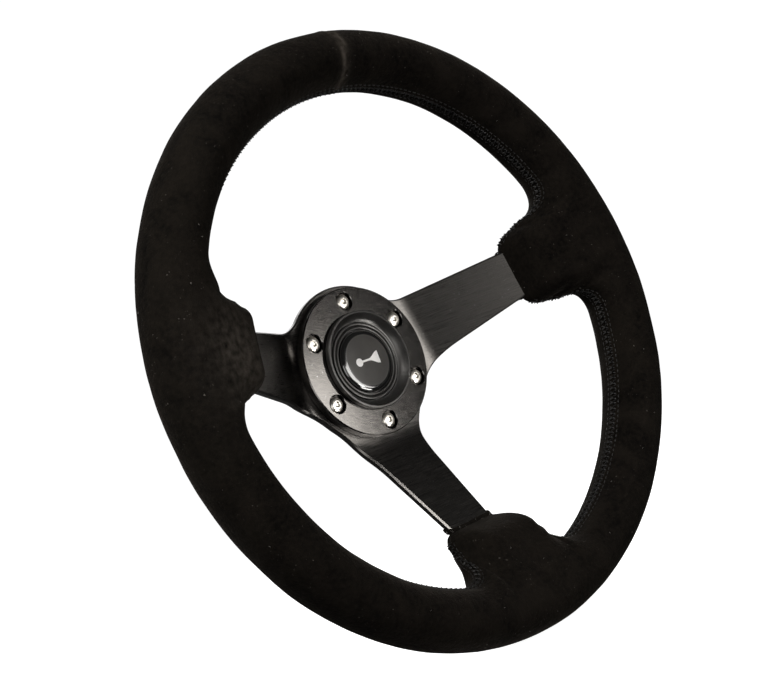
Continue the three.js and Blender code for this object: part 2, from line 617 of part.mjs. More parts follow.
/** Moving cap: two raised rings round a floor that the dome sits on. */
function hornCap() {
  const innerRidge = CAP_R - RIDGE_W - 3 * RIDGE_EDGE;
  return revolve([[0, CAP_FLOOR_Z], [CUP_INNER_R - GAP, CAP_FLOOR_Z], [CUP_INNER_R - GAP, CAP_FLANGE_Z],
    [CAP_R, CAP_FLANGE_Z], [CAP_R, CAP_CREST_Z - RIDGE_EDGE], [CAP_R - RIDGE_EDGE, CAP_CREST_Z],
    [CAP_R - RIDGE_W, CAP_CREST_Z], [CAP_R - RIDGE_W - RIDGE_EDGE, CAP_CREST_Z - RIDGE_H],
    [innerRidge + RIDGE_EDGE, CAP_CREST_Z - RIDGE_H], [innerRidge, CAP_CREST_Z],
    [DOME_R + 2 * RIDGE_EDGE, CAP_CREST_Z], [DOME_R + GAP, CAP_CREST_Z - RIDGE_EDGE],
    [DOME_R + GAP, DOME_SEAT_Z - GAP], [0, DOME_SEAT_Z - GAP]], 32);
}

/** Glossy dome with a nearly flat middle. */
function hornDome() {
  const shoulder = arc(0, 0, 1, 0, Math.PI / 2, 4).slice(1).map(([out, up]) => [
    THREE.MathUtils.lerp(DOME_CROWN_R, DOME_R, out), THREE.MathUtils.lerp(DOME_EDGE_Z, DOME_CROWN_Z, up)]);
  return revolve([[0, DOME_SEAT_Z], [DOME_R, DOME_SEAT_Z], [DOME_R, DOME_EDGE_Z], ...shoulder,
    [0, DOME_CROWN_Z + DOME_CROWN_H]], 32);
}

/** A flat ring between two radii, or a disc where the inner one is 0. */
function washer(innerR, outerR, frontZ, thickness) {
  const backZ = frontZ - thickness;
  return revolve([[innerR, backZ], [outerR, backZ], [outerR, frontZ], [innerR, frontZ]], 24);
}

/** Wire ring that holds the cup behind the hub plate. */
function hornClip() {
  return revolve(arc(CLIP_RING_R, -GAP - CLIP_R, CLIP_R, 0, TURN, 6).slice(0, -1), 28);
}

/** Coil spring between the cup's floor and the moving contact. */
function hornSpring() {
  const fromZ = -CUP_DEPTH + CUP_WALL + GAP + SPRING_WIRE_R;
  const toZ = MOVING_CONTACT_Z - CONTACT_T - GAP - SPRING_WIRE_R;
  class Helix extends THREE.Curve {
    getPoint(t) {
      const [x, y] = turned([SPRING_COIL_R, 0], t * SPRING_TURNS * TURN);
      return new THREE.Vector3(x, y, THREE.MathUtils.lerp(fromZ, toZ, t));
    }
  }
  const section = shapeOf(arc(0, 0, SPRING_WIRE_R, 0, TURN, 5).slice(0, -1));
  const steps = SPRING_TURNS * 10;
  return new THREE.ExtrudeGeometry(section, { steps, extrudePath: new Helix(), bevelEnabled: false });
}

/** Spade blade with a hole near its tip, its front end just behind the insulator. */
function terminal() {
  const length = BLADE_FRONT_Z + CUP_DEPTH + BLADE_BEHIND;
  const half = BLADE_WIDTH / 2;
  const outline = shapeOf([[-half, -length + BLADE_CHAMFER], [-half + BLADE_CHAMFER, -length],
    [half - BLADE_CHAMFER, -length], [half, -length + BLADE_CHAMFER], [half, 0], [-half, 0]]);
  const hole = arc(0, -length + BLADE_HOLE_FROM_TIP, BLADE_HOLE_R, 0, TURN, 8).slice(0, -1);
  outline.holes.push(shapeOf(hole.reverse()));
  const blade = new THREE.ExtrudeGeometry(outline, { depth: BLADE_T, bevelEnabled: false });
  return blade.translate(0, 0, -BLADE_T / 2).rotateX(Math.PI / 2).translate(0, 0, BLADE_FRONT_Z);
}

// ---- assembly ----

const wheel = new THREE.Group();
wheel.rotation.x = Math.PI / 2;

const frameGroup = new THREE.Group();
frameGroup.add(named('spoke_plate', spokePlate(), ANODISED));
frameGroup.add(named('rim_core_ring', rimCore(), CORE_STEEL));
rivetPlaces().forEach(([x, y], i) => {
  const mesh = named(`rim_rivet_${i + 1}`, rivet(), RIVET_STEEL);
  mesh.position.set(x, y, RIVET_MID_Z);
  frameGroup.add(mesh);
});

const gripGroup = new THREE.Group();
gripGroup.add(named('rim_foam', rimFoam(), FOAM));
gripGroup.add(named('rim_cover', rimCover(), SUEDE));
for (const [side, angle] of Object.entries(SPOKE_ANGLES)) {
  gripGroup.add(named(`hem_${side}`, hem(angle, HEM_LENGTH[side]), SUEDE));
}

const ringGroup = new THREE.Group();
ringGroup.add(named('retaining_ring', retainingRing(), ANODISED));
screwPlaces().forEach(([x, y], i) => {
  const mesh = named(`ring_screw_${i + 1}`, screw(), SCREW_STEEL);
  mesh.position.set(x, y, RING_FACE - COUNTERBORE_DEPTH + GAP);
  ringGroup.add(mesh);
});

const hornGroup = new THREE.Group();
hornGroup.add(named('horn_bezel', hornBezel(), SATIN_BLACK));
hornGroup.add(named('horn_cup', hornCup(), HOUSING_BLACK));
hornGroup.add(named('horn_clip', hornClip(), SPRING_STEEL));
const insulator = washer(INSULATOR_HOLE_R, CUP_INNER_R - GAP, INSULATOR_Z, INSULATOR_T);
const fixedContact = washer(FIXED_CONTACT.inner, FIXED_CONTACT.outer, FIXED_CONTACT_Z, CONTACT_T);
const movingContact = washer(0, MOVING_CONTACT_R, MOVING_CONTACT_Z, CONTACT_T);
hornGroup.add(named('horn_insulator', insulator, INSULATOR));
hornGroup.add(named('horn_contact_fixed', fixedContact, CONTACT_BRASS));
hornGroup.add(named('horn_contact_moving', movingContact, CONTACT_BRASS));
hornGroup.add(named('horn_spring', hornSpring(), SPRING_STEEL));
hornGroup.add(named('horn_cap', hornCap(), SATIN_BLACK));
hornGroup.add(named('horn_dome', hornDome(), GLOSS_BLACK));
for (const { name, y } of TERMINALS) {
  const mesh = named(name, terminal(), CONTACT_BRASS);
  mesh.position.set(0, y, 0);
  hornGroup.add(mesh);
}

wheel.add(frameGroup, gripGroup, ringGroup, hornGroup);

export default wheel;
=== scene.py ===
import math
import random

import bpy
import numpy as np
from mathutils import Matrix, Vector, noise
from mathutils.geometry import delaunay_2d_cdt


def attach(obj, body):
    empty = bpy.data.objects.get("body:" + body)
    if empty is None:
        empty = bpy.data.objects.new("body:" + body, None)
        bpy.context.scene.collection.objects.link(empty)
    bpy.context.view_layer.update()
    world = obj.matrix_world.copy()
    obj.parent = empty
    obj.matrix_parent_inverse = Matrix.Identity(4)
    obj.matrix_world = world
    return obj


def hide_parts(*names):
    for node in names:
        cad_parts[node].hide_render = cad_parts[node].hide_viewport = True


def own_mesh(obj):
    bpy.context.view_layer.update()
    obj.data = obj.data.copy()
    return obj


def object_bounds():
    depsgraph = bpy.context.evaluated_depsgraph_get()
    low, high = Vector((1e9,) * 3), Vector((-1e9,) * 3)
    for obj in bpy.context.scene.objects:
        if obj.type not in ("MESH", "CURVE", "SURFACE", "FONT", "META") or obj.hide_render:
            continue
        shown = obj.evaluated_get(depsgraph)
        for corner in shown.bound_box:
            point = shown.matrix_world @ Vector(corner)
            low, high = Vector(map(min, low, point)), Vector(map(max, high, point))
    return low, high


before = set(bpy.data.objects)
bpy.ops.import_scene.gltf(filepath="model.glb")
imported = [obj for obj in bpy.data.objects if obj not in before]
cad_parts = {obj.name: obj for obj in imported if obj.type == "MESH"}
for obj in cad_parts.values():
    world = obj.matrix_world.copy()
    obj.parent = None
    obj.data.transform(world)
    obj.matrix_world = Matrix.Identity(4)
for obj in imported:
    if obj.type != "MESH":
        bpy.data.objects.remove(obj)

# A 350 mm deep-dish steering wheel: suede grip, brushed black spoke plate and ring, horn button.
#
# Shapes are worked out in millimetres in a front view: x to the driver's right, y to 12 o'clock,
# z out of the hub towards the driver, with z = 0 on the hub plate's back face. in_row_frame()
# turns them into the row frame, in metres.

CAD_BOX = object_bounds()
MM = 0.001
TURN = 2 * math.pi
random.seed(7)

# ---- sizes, as in the CAD source ----

# Rim grip
WHEEL_D = 350
GRIP_RADIAL = 32.4
GRIP_AXIAL = 38.6
RIM_Z = 71.2
GRIP_POWER = 2.1
GRIP_R = (WHEEL_D - GRIP_RADIAL) / 2
GRIP_INNER_R = WHEEL_D / 2 - GRIP_RADIAL

# Spoke plate
PLATE_T = 4.5
HUB_R = 48
UPPER_FILLET_R = 20  # between the side spokes, over the hub
LOWER_FILLET_R = 60  # between a side spoke and the lower one
SPOKE_RISE = math.radians(10.2)
SPOKE_ANGLES = {"right": SPOKE_RISE, "left": math.pi - SPOKE_RISE, "lower": -math.pi / 2}
SPOKE_HALF_AT_HUB = 21.3
SPOKE_HALF_AT_RIM = 12
HUB_BEND_S = 49  # where the spoke leaves the hub plane
HUB_BEND_R = 24
RIM_BEND_S = 149  # where it lies flat again, inside the grip
RIM_BEND_R = 15
TAB_END_S = 164
TAB_CORNER_R = 5
TAB_MID_Z = RIM_Z - 1.5
SPOKE_SLOPE = (TAB_MID_Z - PLATE_T / 2) / (RIM_BEND_S - HUB_BEND_S)
SPOKE_TILT = math.atan(SPOKE_SLOPE)
TAPER = math.atan((SPOKE_HALF_AT_HUB - SPOKE_HALF_AT_RIM) / (RIM_BEND_S - HUB_BEND_S))
PLATE_EDGE = 0.9  # chamfer of the plate's edges

# Bosses of the grip
MOUTH_S = 108.5  # distance of a boss's mouth from the wheel axis
BOSS_FRONT_DROP = 20  # how far the driver's side has dropped back at the mouth
BOSS_BACK_DROP = 14
BOSS_ROUNDING = 10  # edge rounding at the mouth
BOSS_HALF = 24  # half the boss's width at its mouth
BOSS_FLARE = 2.5  # how much wider each flank stands at the plain grip
BOSS_CORNER_R = 11
BOSS_FILLET_R = 14
BOSS_FULL_SHARE = 0.8  # a section this share of the deepest one has the boss's full form
FRONT_DROP_POWER = 1.3  # how late the driver's side drops towards the mouth
BACK_DROP_POWER = 1.5
ROUNDING_RANGE = (0.3, 0.8)  # shares of the way in between which the rounding tightens
BEND_SOFTNESS = 6  # of the grip's middle surface where it follows the rim bend

# Retaining ring and screws
RING_R = 45
RING_BACK = PLATE_T + 0.3
RING_FACE = RING_BACK + 6
CENTRE_HOLE_R = 27
BOLT_CIRCLE_R = 37
SCREW_COUNT = 6
COUNTERBORE_R = 5.6
COUNTERBORE_DEPTH = 3.3
RING_EDGE = 0.6
BORE_EDGE = 0.3
SCREW_SEAT = RING_FACE - COUNTERBORE_DEPTH + 0.3
SCREW_BEHIND = 8
SCREW_R = 2.5
SCREW_HEAD_R = 4.75
SCREW_HEAD_H = 2.75
SCREW_CROWN_R = 2.15  # flat top round the socket
SCREW_BRIM_H = 0.55  # upright edge of the head
SCREW_BRIM_EDGE = 0.25
SCREW_TIP = 0.7  # chamfer at the thread's end
SCREW_NECK = 1.5  # plain shank under the head
SOCKET_ACROSS_FLATS = 3
SOCKET_DEPTH = 1.6
SOCKET_CONE = 0.4  # depth of the drilled floor
THREAD_PITCH = 0.8
THREAD_DEPTH = 0.4

# Horn button
BEZEL_R = 29.6
BEZEL_RIM_Z = RING_FACE + 3.6
BEZEL_LIP_R = 23.7
BEZEL_LIP_Z = RING_FACE - 1.6
LIP_BACK_Z = RING_FACE - 3.6
CUP_R = 26.7
CUP_INNER_R = 24.9
CUP_TOP_Z = 1.2
CUP_DEPTH = 9
CUP_WALL = 2
CAP_R = 23.3
CAP_FLANGE_Z = LIP_BACK_Z - 0.3
CAP_FLOOR_Z = CAP_FLANGE_Z - 1.7
CAP_CREST_Z = RING_FACE - 0.9
DOME_R = 18.9
DOME_SEAT_Z = CAP_FLANGE_Z + 0.5
DOME_EDGE_Z = RING_FACE - 1.6
DOME_TOP_Z = RING_FACE + 0.55
DOME_DISC_R = 15.8  # the printed disc under the gloss
DOME_SAG = 0.02  # of the disc
CLIP_RING_R = 27.2
CLIP_R = 0.75
SPRING_COIL_R = 6
SPRING_WIRE_R = 0.6
SPRING_TURNS = 5
SPRING_SPAN = (-6.1, 3.2)  # heights of the wire's two ends

# How finely the looks are meshed
OUTLINE_SPACING = 1.5
STATION_SPACING = 2.6
ROUND_STEPS = 128
SUPPORT_LOOP = 0.15  # distance of the extra row of points inside a slab's edge

# Camera, in the row frame
CAMERA_AT = (-0.48906, -0.59314, -0.03866)
CAMERA_FORWARD = (0.66476, 0.74693, 0.01392)
CAMERA_ROLL = 21.27  # degrees
CAMERA_LENS = 60.70
CAMERA_SHIFT = (-0.04394, 0.05753)


# ---- the grip's shape ----


def smooth(low, high, x):
    """0 below low, 1 above high, and an S-curve between them."""
    t = np.clip((x - low) / (high - low), 0, 1)
    return t * t * (3 - 2 * t)


def turned(points, angle):
    """Points in front view turned about the wheel's axis."""
    points = np.asarray(points, float)
    c, s = np.cos(angle), np.sin(angle)
    return np.stack([points[..., 0] * c - points[..., 1] * s, points[..., 0] * s + points[..., 1] * c], -1)


def arc(centre, radius, start, end, steps):
    """Points of an arc in front view, both ends included."""
    angles = np.linspace(start, end, steps + 1)
    return np.column_stack([centre[0] + radius * np.cos(angles), centre[1] + radius * np.sin(angles)])


def walked(points):
    """Length walked along a line up to each of its points."""
    steps = np.linalg.norm(np.diff(points, axis=0), axis=1)
    return np.concatenate([[0], np.cumsum(steps)])


def resampled(points, spacing):
    """The same line with its points about one spacing apart."""
    along = walked(points)
    count = max(int(round(along[-1] / spacing)), 1)
    wanted = np.linspace(0, along[-1], count + 1)
    return np.column_stack([np.interp(wanted, along, points[:, i]) for i in range(points.shape[1])])


def boss_outline():
    """Half of a boss's inner outline in the spoke's frame, from the mouth's middle to the plain grip."""
    fillet_h = BOSS_HALF + BOSS_FLARE + BOSS_FILLET_R
    fillet_s = math.sqrt((GRIP_INNER_R - BOSS_FILLET_R) ** 2 - fillet_h**2)
    corner_at = (MOUTH_S + BOSS_CORNER_R, BOSS_HALF - BOSS_CORNER_R)
    corner = arc(corner_at, BOSS_CORNER_R, math.pi, math.pi / 2, 16)
    fillet = arc((fillet_s, fillet_h), BOSS_FILLET_R, -math.pi / 2, math.atan2(fillet_h, fillet_s), 16)
    return resampled(np.vstack([[[MOUTH_S, 0]], corner, fillet]), OUTLINE_SPACING)


def grip_stations():
    """Stations round the grip: the angle on its centre line, the innermost point that the section
    reaches, and the spoke whose boss it belongs to."""
    outline = boss_outline()
    boss_angle = math.atan2(outline[-1, 1], outline[-1, 0])
    off = walked(outline) / walked(outline)[-1] * boss_angle
    angles, inner, spokes = [], [], []
    order = sorted(SPOKE_ANGLES.values())
    for i, spoke in enumerate(order):
        mirrored = outline[:0:-1] * [1, -1]
        angles += [spoke - o for o in off[:0:-1]] + [spoke + o for o in off]
        inner += list(turned(mirrored, spoke)) + list(turned(outline, spoke))
        following = order[i + 1] if i + 1 < len(order) else order[0] + TURN
        gap = following - spoke - 2 * boss_angle
        parts = int(round(gap * GRIP_R / STATION_SPACING))
        plain = [spoke + boss_angle + gap * k / parts for k in range(1, parts)]
        angles += plain
        inner += [GRIP_INNER_R * np.array([math.cos(a), math.sin(a)]) for a in plain]
        spokes += [spoke] * (len(angles) - len(spokes))
    return np.array(angles), np.array(inner), np.array(spokes)


def to_outline(points, outline):
    """Distance in front view from each point to a closed outline."""
    ends = np.roll(outline, -1, axis=0)
    run = ends - outline
    length2 = (run**2).sum(1)
    nearest = np.full(len(points), np.inf)
    for a, d, l2 in zip(outline, run, length2):
        offset = points - a
        t = np.clip((offset @ d) / l2, 0, 1)
        nearest = np.minimum(nearest, np.hypot(offset[:, 0] - t * d[0], offset[:, 1] - t * d[1]))
    return nearest


def squared_off(value):
    """A sine or cosine reshaped for a superellipse."""
    return np.sign(value) * np.abs(value) ** (2 / GRIP_POWER)


def grip_sections(stations, phi):
    """The grip's surface at every station and every phi: phi runs round the section, 0 outside."""
    angle, inner, spoke = stations[0][:, None], stations[1][:, None, :], stations[2][:, None]
    across, upright = squared_off(np.cos(phi))[None, :], squared_off(np.sin(phi))[None, :]
    centre = np.stack([GRIP_R * np.cos(angle), GRIP_R * np.sin(angle)], -1)
    reach = inner - centre
    depth = np.linalg.norm(reach, axis=-1)
    outward = np.stack([np.cos(angle), np.sin(angle)], -1) * (across * GRIP_RADIAL / 2)[..., None]
    share = np.maximum(-across, 0)
    plan = centre + np.where(across[..., None] >= 0, outward, reach * share[..., None])
    boss_depth = GRIP_R - MOUTH_S
    boss = smooth(GRIP_RADIAL / 2, boss_depth * BOSS_FULL_SHARE, depth)
    inward = share * depth / boss_depth
    front = RIM_Z + GRIP_AXIAL / 2 - boss * BOSS_FRONT_DROP * inward**FRONT_DROP_POWER
    back = RIM_Z - GRIP_AXIAL / 2 - boss * BOSS_BACK_DROP * inward**BACK_DROP_POWER
    to_spoke = RIM_BEND_S - (plan[..., 0] * np.cos(spoke) + plan[..., 1] * np.sin(spoke))
    ramp = (to_spoke + np.hypot(to_spoke, BEND_SOFTNESS)) / 2
    middle = RIM_Z - boss * (SPOKE_SLOPE * ramp + RIM_Z - TAB_MID_Z)
    rounding = GRIP_RADIAL / 2 + (BOSS_ROUNDING - GRIP_RADIAL / 2) * smooth(*ROUNDING_RANGE, inward)
    from_edge = to_outline(plan.reshape(-1, 2), stations[1]).reshape(depth.shape[0], len(phi))
    uncovered = np.maximum(1 - from_edge / rounding, 0)
    fullness = np.maximum(1 - uncovered**GRIP_POWER, 0) ** (1 / GRIP_POWER)
    height = middle + np.where(upright > 0, front - middle, back - middle) * fullness
    height = np.where(across >= 0, RIM_Z + upright * GRIP_AXIAL / 2, height)
    return np.concatenate([plan, height[..., None]], -1)


# ---- building blocks ----


def in_row_frame(points):
    """Front-view millimetres to row-frame metres."""
    points = np.asarray(points, float).reshape(-1, 3)
    return np.column_stack([points[:, 0], -points[:, 2], points[:, 1]]) * MM


def piece(name, vertices, faces, material, slot, stands_for=(), body="wheel", sharp=35):
    """A mesh piece from front-view millimetres, shaded smooth except at edges sharper than `sharp`."""
    mesh = bpy.data.meshes.new(name)
    mesh.from_pydata(in_row_frame(vertices).tolist(), [], [list(face) for face in faces])
    mesh.update()
    mesh.materials.append(material)
    mesh.shade_smooth()
    mesh.set_sharp_from_angle(angle=math.radians(sharp))
    return place(bpy.data.objects.new(name, mesh), slot, stands_for, body)


def place(obj, slot, stands_for=(), body="wheel"):
    """Links an object, hangs it on its body's empty and hides the CAD nodes that it stands for."""
    bpy.context.scene.collection.objects.link(obj)
    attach(obj, body)
    if stands_for:
        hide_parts(*stands_for)
    return obj


def band(here, there):
    """Faces between two closed rings of vertex numbers, triangles where a ring is a single vertex."""
    faces = []
    for i in range(len(here)):
        k = (i + 1) % len(here)
        face = list(dict.fromkeys([here[i], here[k], there[k], there[i]]))
        if len(face) > 2:
            faces.append(face)
    return faces


def lathe(profile, steps=ROUND_STEPS):
    """Revolves a closed outline of (radius, z) points about z. Points on the axis become one vertex."""
    profile = np.asarray(profile, float)
    if shoelace(profile) < 0:
        profile = profile[::-1]
    vertices, rings, faces = [], [], []
    for radius, z in profile:
        start = len(vertices)
        if radius == 0:
            vertices.append((0, 0, z))
            rings.append([start] * steps)
            continue
        for i in range(steps):
            angle = TURN * i / steps
            vertices.append((radius * math.cos(angle), radius * math.sin(angle), z))
        rings.append(list(range(start, start + steps)))
    for here, there in zip(rings, rings[1:] + rings[:1]):
        faces += band(here, there)
    return np.array(vertices), faces


def shoelace(points):
    """Signed area of a closed outline, positive when it runs anticlockwise."""
    x, y = points[:, 0], points[:, 1]
    return 0.5 * np.sum(x * np.roll(y, -1) - y * np.roll(x, -1))


def rounded(corner_in, corner, corner_out, radius, steps=4):
    """Points that round off one corner of an outline."""
    corner = np.asarray(corner, float)
    a = corner + unit(np.asarray(corner_in, float) - corner) * radius
    b = corner + unit(np.asarray(corner_out, float) - corner) * radius
    t = np.linspace(0, 1, steps + 1)[:, None]
    return (1 - t) ** 2 * a + 2 * t * (1 - t) * corner + t**2 * b


def rounded_outline(points, radius, steps):
    """A closed outline with each corner rounded."""
    following = np.roll(points, -1, axis=0)
    return np.vstack([rounded(points[i - 1], corner, following[i], radius, steps)
                      for i, corner in enumerate(points)])


def unit(vectors):
    vectors = np.asarray(vectors, float)
    return vectors / np.maximum(np.linalg.norm(vectors, axis=-1, keepdims=True), 1e-12)


def inset(points, distance):
    """A closed loop moved to its left, which is into the material for every loop of a slab."""
    ahead = unit(np.roll(points, -1, axis=0) - np.roll(points, 1, axis=0))
    return points + np.column_stack([-ahead[:, 1], ahead[:, 0]]) * distance


def inside(points, loops):
    """Which points lie inside the loops by the even-odd rule."""
    crossings = np.zeros(len(points), int)
    for loop in loops:
        x0, y0 = loop[:, 0], loop[:, 1]
        x1, y1 = np.roll(x0, -1), np.roll(y0, -1)
        px, py = points[:, 0][:, None], points[:, 1][:, None]
        straddles = (y0 > py) != (y1 > py)
        run = np.where(y1 == y0, 1e-12, y1 - y0)
        crossings += (straddles & (px < x0 + (py - y0) * (x1 - x0) / run)).sum(1)
    return crossings % 2 == 1


def filled(loops, extra):
    """Triangles between loops, with extra points inside. Indices run over the loops, then extra."""
    points = np.vstack([*loops, extra]) if len(extra) else np.vstack(loops)
    edges, start = [], 0
    for loop in loops:
        count = len(loop)
        edges += [(start + i, start + (i + 1) % count) for i in range(count)]
        start += count
    made = delaunay_2d_cdt([Vector(p) for p in points], edges, [], 0, 1e-6)
    coords = np.array([tuple(v) for v in made[0]])
    source = [ids[0] if ids else 0 for ids in made[3]]
    triangles = np.array(made[2])
    keep = inside(coords[triangles].mean(1), loops)
    faces = []
    for triangle in triangles[keep]:
        a, b, c = coords[triangle]
        left = (b[0] - a[0]) * (c[1] - a[1]) - (b[1] - a[1]) * (c[0] - a[0]) > 0
        ids = [source[i] for i in triangle]
        faces.append(ids if left else ids[::-1])
    return faces


def edge_profile(size, top, bottom, both=True):
    """A slab's chamfered edge as (inset, z) from the top face to the bottom face. A support loop just
    inside the edge keeps the flat face flat when shaded smooth."""
    upper = [(size + SUPPORT_LOOP, top), (size, top), (0, top - size)]
    if not both:
        return upper + [(0, bottom)]
    return upper + [(i, top + bottom - z) for i, z in upper[::-1]]


def slab(loops, extra=()):
    """A flat solid. Each loop is (points, edge profile, goes through); the first runs anticlockwise,
    holes clockwise. A loop that doesn't go through is a pocket with a floor."""
    vertices, faces, tops, bottoms = [], [], [], []
    for points, profile, through in loops:
        rings = []
        for distance, z in profile:
            rings.append(list(range(len(vertices), len(vertices) + len(points))))
            vertices += [(x, y, z) for x, y in inset(points, distance)]
        for here, there in zip(rings, rings[1:]):
            for i in range(len(points)):
                k = (i + 1) % len(points)
                faces.append((here[i], there[i], there[k], here[k]))
        tops.append(rings[0])
        if through:
            bottoms.append(rings[-1])
        else:
            faces.append(rings[-1][::-1])
    for rings, flip in ((tops, False), (bottoms, True)):
        index = [i for ring in rings for i in ring]
        level = vertices[index[0]][2]
        flat = np.array(vertices)[:, :2]
        start = len(vertices)
        vertices += [(x, y, level) for x, y in extra]
        index += list(range(start, len(vertices)))
        for face in filled([flat[ring] for ring in rings], np.asarray(extra, float).reshape(-1, 2)):
            ids = [index[i] for i in face]
            faces.append(ids[::-1] if flip else ids)
    return np.array(vertices, float), faces


def circle(centre, radius, steps, clockwise=False):
    points = arc(centre, radius, 0, TURN, steps)[:-1]
    return points[::-1] if clockwise else points


def add_brush_map(obj, plan, angle):
    """A UV map in metres whose V runs along the brushing and U across it."""
    mesh = obj.data
    along = turned(plan, -angle) * MM
    layer = mesh.uv_layers.new(name="brush")
    loops = np.zeros(len(mesh.loops), int)
    mesh.loops.foreach_get("vertex_index", loops)
    layer.data.foreach_set("uv", along[loops][:, ::-1].astype(np.float32).ravel())


def tubes(paths, radius, sides=6, taper=0.5):
    """One mesh of round tubes, each along its own short line, tapering at both ends."""
    vertices, faces = [], []
    for path in paths:
        path = np.asarray(path, float)
        ahead = unit(np.gradient(path, axis=0))
        flat = np.cross(ahead, ahead[len(path) // 2] + [0.31, 0.17, 0.23])
        side = unit(np.where(np.linalg.norm(flat, axis=1, keepdims=True) > 1e-6, flat, [[0, 0, 1]]))
        up = np.cross(side, ahead)
        ends = np.ones(len(path))
        ends[[0, -1]] = taper
        start = len(vertices)
        for point, s, u, thick in zip(path, side, up, ends):
            for j in range(sides):
                a = TURN * j / sides
                vertices.append(point + radius * thick * (math.cos(a) * s + math.sin(a) * u))
        rings = [range(i, i + sides) for i in range(start, len(vertices), sides)]
        for here, there in zip(rings, rings[1:]):
            faces += band(here, there)
        faces += [rings[0][::-1], rings[-1]]
    return np.array(vertices), faces


def grid_faces(rows, columns):
    """Quads of a grid that closes both ways."""
    faces = []
    for i in range(rows):
        for j in range(columns):
            k, n = (i + 1) % rows, (j + 1) % columns
            faces.append((i * columns + j, k * columns + j, k * columns + n, i * columns + n))
    return faces


def facing_out(vertices, faces):
    """The faces turned so that the closed mesh encloses a positive volume."""
    corners = vertices[np.array([face[:3] for face in faces])]
    volume = np.sum(corners[:, 0] * np.cross(corners[:, 1], corners[:, 2]))
    return faces if volume > 0 else [face[::-1] for face in faces]


def coil(coil_r, wire_r, turns, span, steps=24, sides=10):
    """A helical spring about z whose wire centre climbs through `span`."""
    up = np.array([0, 0, 1])
    angles = np.linspace(0, TURN * turns, turns * steps + 1)
    vertices, faces = [], []
    for angle, z in zip(angles, np.linspace(*span, len(angles))):
        outward = np.array([math.cos(angle), math.sin(angle), 0])
        for a in np.linspace(0, TURN, sides, endpoint=False):
            vertices.append((coil_r + wire_r * math.cos(a)) * outward + (z + wire_r * math.sin(a)) * up)
    rings = [range(i, i + sides) for i in range(0, len(vertices), sides)]
    for here, there in zip(rings, rings[1:]):
        faces += band(here, there)
    faces += [rings[0][::-1], rings[-1]]
    vertices = np.array(vertices)
    return vertices, facing_out(vertices, faces)


# ---- materials ----


class Look:
    """A new Principled material and short ways to add procedural detail to it."""

    def __init__(self, name, **uniform):
        self.material = bpy.data.materials.new(name)
        self.material.use_nodes = True
        self.tree = self.material.node_tree
        self.shader = self.tree.nodes["Principled BSDF"]
        for socket, value in uniform.items():
            self.shader.inputs[socket.replace("_", " ")].default_value = value

    def node(self, kind, **inputs):
        node = self.tree.nodes.new(kind)
        for socket, value in inputs.items():
            self.feed(node.inputs[socket.replace("_", " ")], value)
        return node

    def feed(self, socket, value):
        if isinstance(value, bpy.types.NodeSocket):
            self.tree.links.new(value, socket)
        else:
            socket.default_value = value

    def place(self, scale=(1, 1, 1), brushed=False):
        """Coordinates in metres: the object's own, or the brush map's."""
        coordinates = self.node("ShaderNodeTexCoord").outputs["UV" if brushed else "Object"]
        mapping = self.node("ShaderNodeMapping", Vector=coordinates, Scale=scale)
        return mapping.outputs["Vector"]

    def noise(self, where, scale, detail=3, distortion=0):
        made = self.node("ShaderNodeTexNoise", Vector=where, Scale=scale, Detail=detail,
                         Distortion=distortion)
        return made.outputs["Fac"]

    def ranged(self, value, low, high, to_low=0, to_high=1):
        made = self.node("ShaderNodeMapRange", Value=value, From_Min=low, From_Max=high, To_Min=to_low,
                         To_Max=to_high)
        return made.outputs["Result"]

    def mixed(self, share, a, b):
        made = self.node("ShaderNodeMix")
        made.data_type = "RGBA"
        self.feed(made.inputs["Factor"], share)
        self.feed(made.inputs["A"], a)
        self.feed(made.inputs["B"], b)
        return made.outputs["Result"]

    def product(self, a, b):
        made = self.node("ShaderNodeMath")
        made.operation = "MULTIPLY"
        self.feed(made.inputs[0], a)
        self.feed(made.inputs[1], b)
        return made.outputs["Value"]

    def bump(self, height, strength, distance, under=None):
        made = self.node("ShaderNodeBump", Height=height, Strength=strength, Distance=distance)
        if under is not None:
            self.tree.links.new(under, made.inputs["Normal"])
        return made.outputs["Normal"]

    def set(self, **values):
        for socket, value in values.items():
            self.feed(self.shader.inputs[socket.replace("_", " ")], value)
        return self.material


def grey(level, warm=0.0):
    """A grey in linear light, a little warm if asked."""
    return (level * (1 + warm), level, level * (1 - warm), 1)


def suede_look(name, worn=False):
    """Black suede: brushed nap in soft patches, fine mottling, a fibrous surface and sparse lint.
    A worn one is paler where the attribute on its mesh says so: worn nap at the cross seam, and a painted
    sheen on the left boss's inner slope."""
    look = Look(name, Roughness=0.95, Sheen_Weight=0.05, Sheen_Roughness=0.35, Specular_IOR_Level=0.06)
    look.shader.inputs["Sheen Tint"].default_value = grey(0.55, 0.12)
    where = look.place()
    patches = look.ranged(look.noise(where, 32, 4, 1.4), 0.36, 0.68)
    mottle = look.ranged(look.noise(where, 420, 4), 0.35, 0.7)
    nap = look.mixed(patches, grey(0.001, 0.25), grey(0.0048, 0.25))
    colour = look.mixed(look.product(mottle, 0.6), nap, grey(0.0068, 0.25))
    lint = look.product(look.ranged(look.noise(where, 900, 1), 0.735, 0.76),
                        look.ranged(look.noise(where, 90, 2), 0.5, 0.62))
    colour = look.mixed(look.product(lint, 0.3), colour, grey(0.2, 0.1))
    if worn:
        # paler nap where the mesh's attribute is high: worn at the cross seam, a painted sheen on the left
        # boss
        wear_and_sheen = look.node("ShaderNodeAttribute")
        wear_and_sheen.attribute_name = "wear_and_sheen"
        rubbed_and_sheen = look.product(wear_and_sheen.outputs["Fac"], look.ranged(look.noise(where, 260, 3), 0.25, 0.75))
        colour = look.mixed(rubbed_and_sheen, colour, grey(0.06, 0.16))
    fibres = look.noise(where, 1500, 5, 0.6)
    soft = look.bump(mottle, 0.4, 0.0005, look.bump(patches, 0.3, 0.0012))
    return look.set(Base_Color=colour, Normal=look.bump(fibres, 0.7, 0.0005, soft))


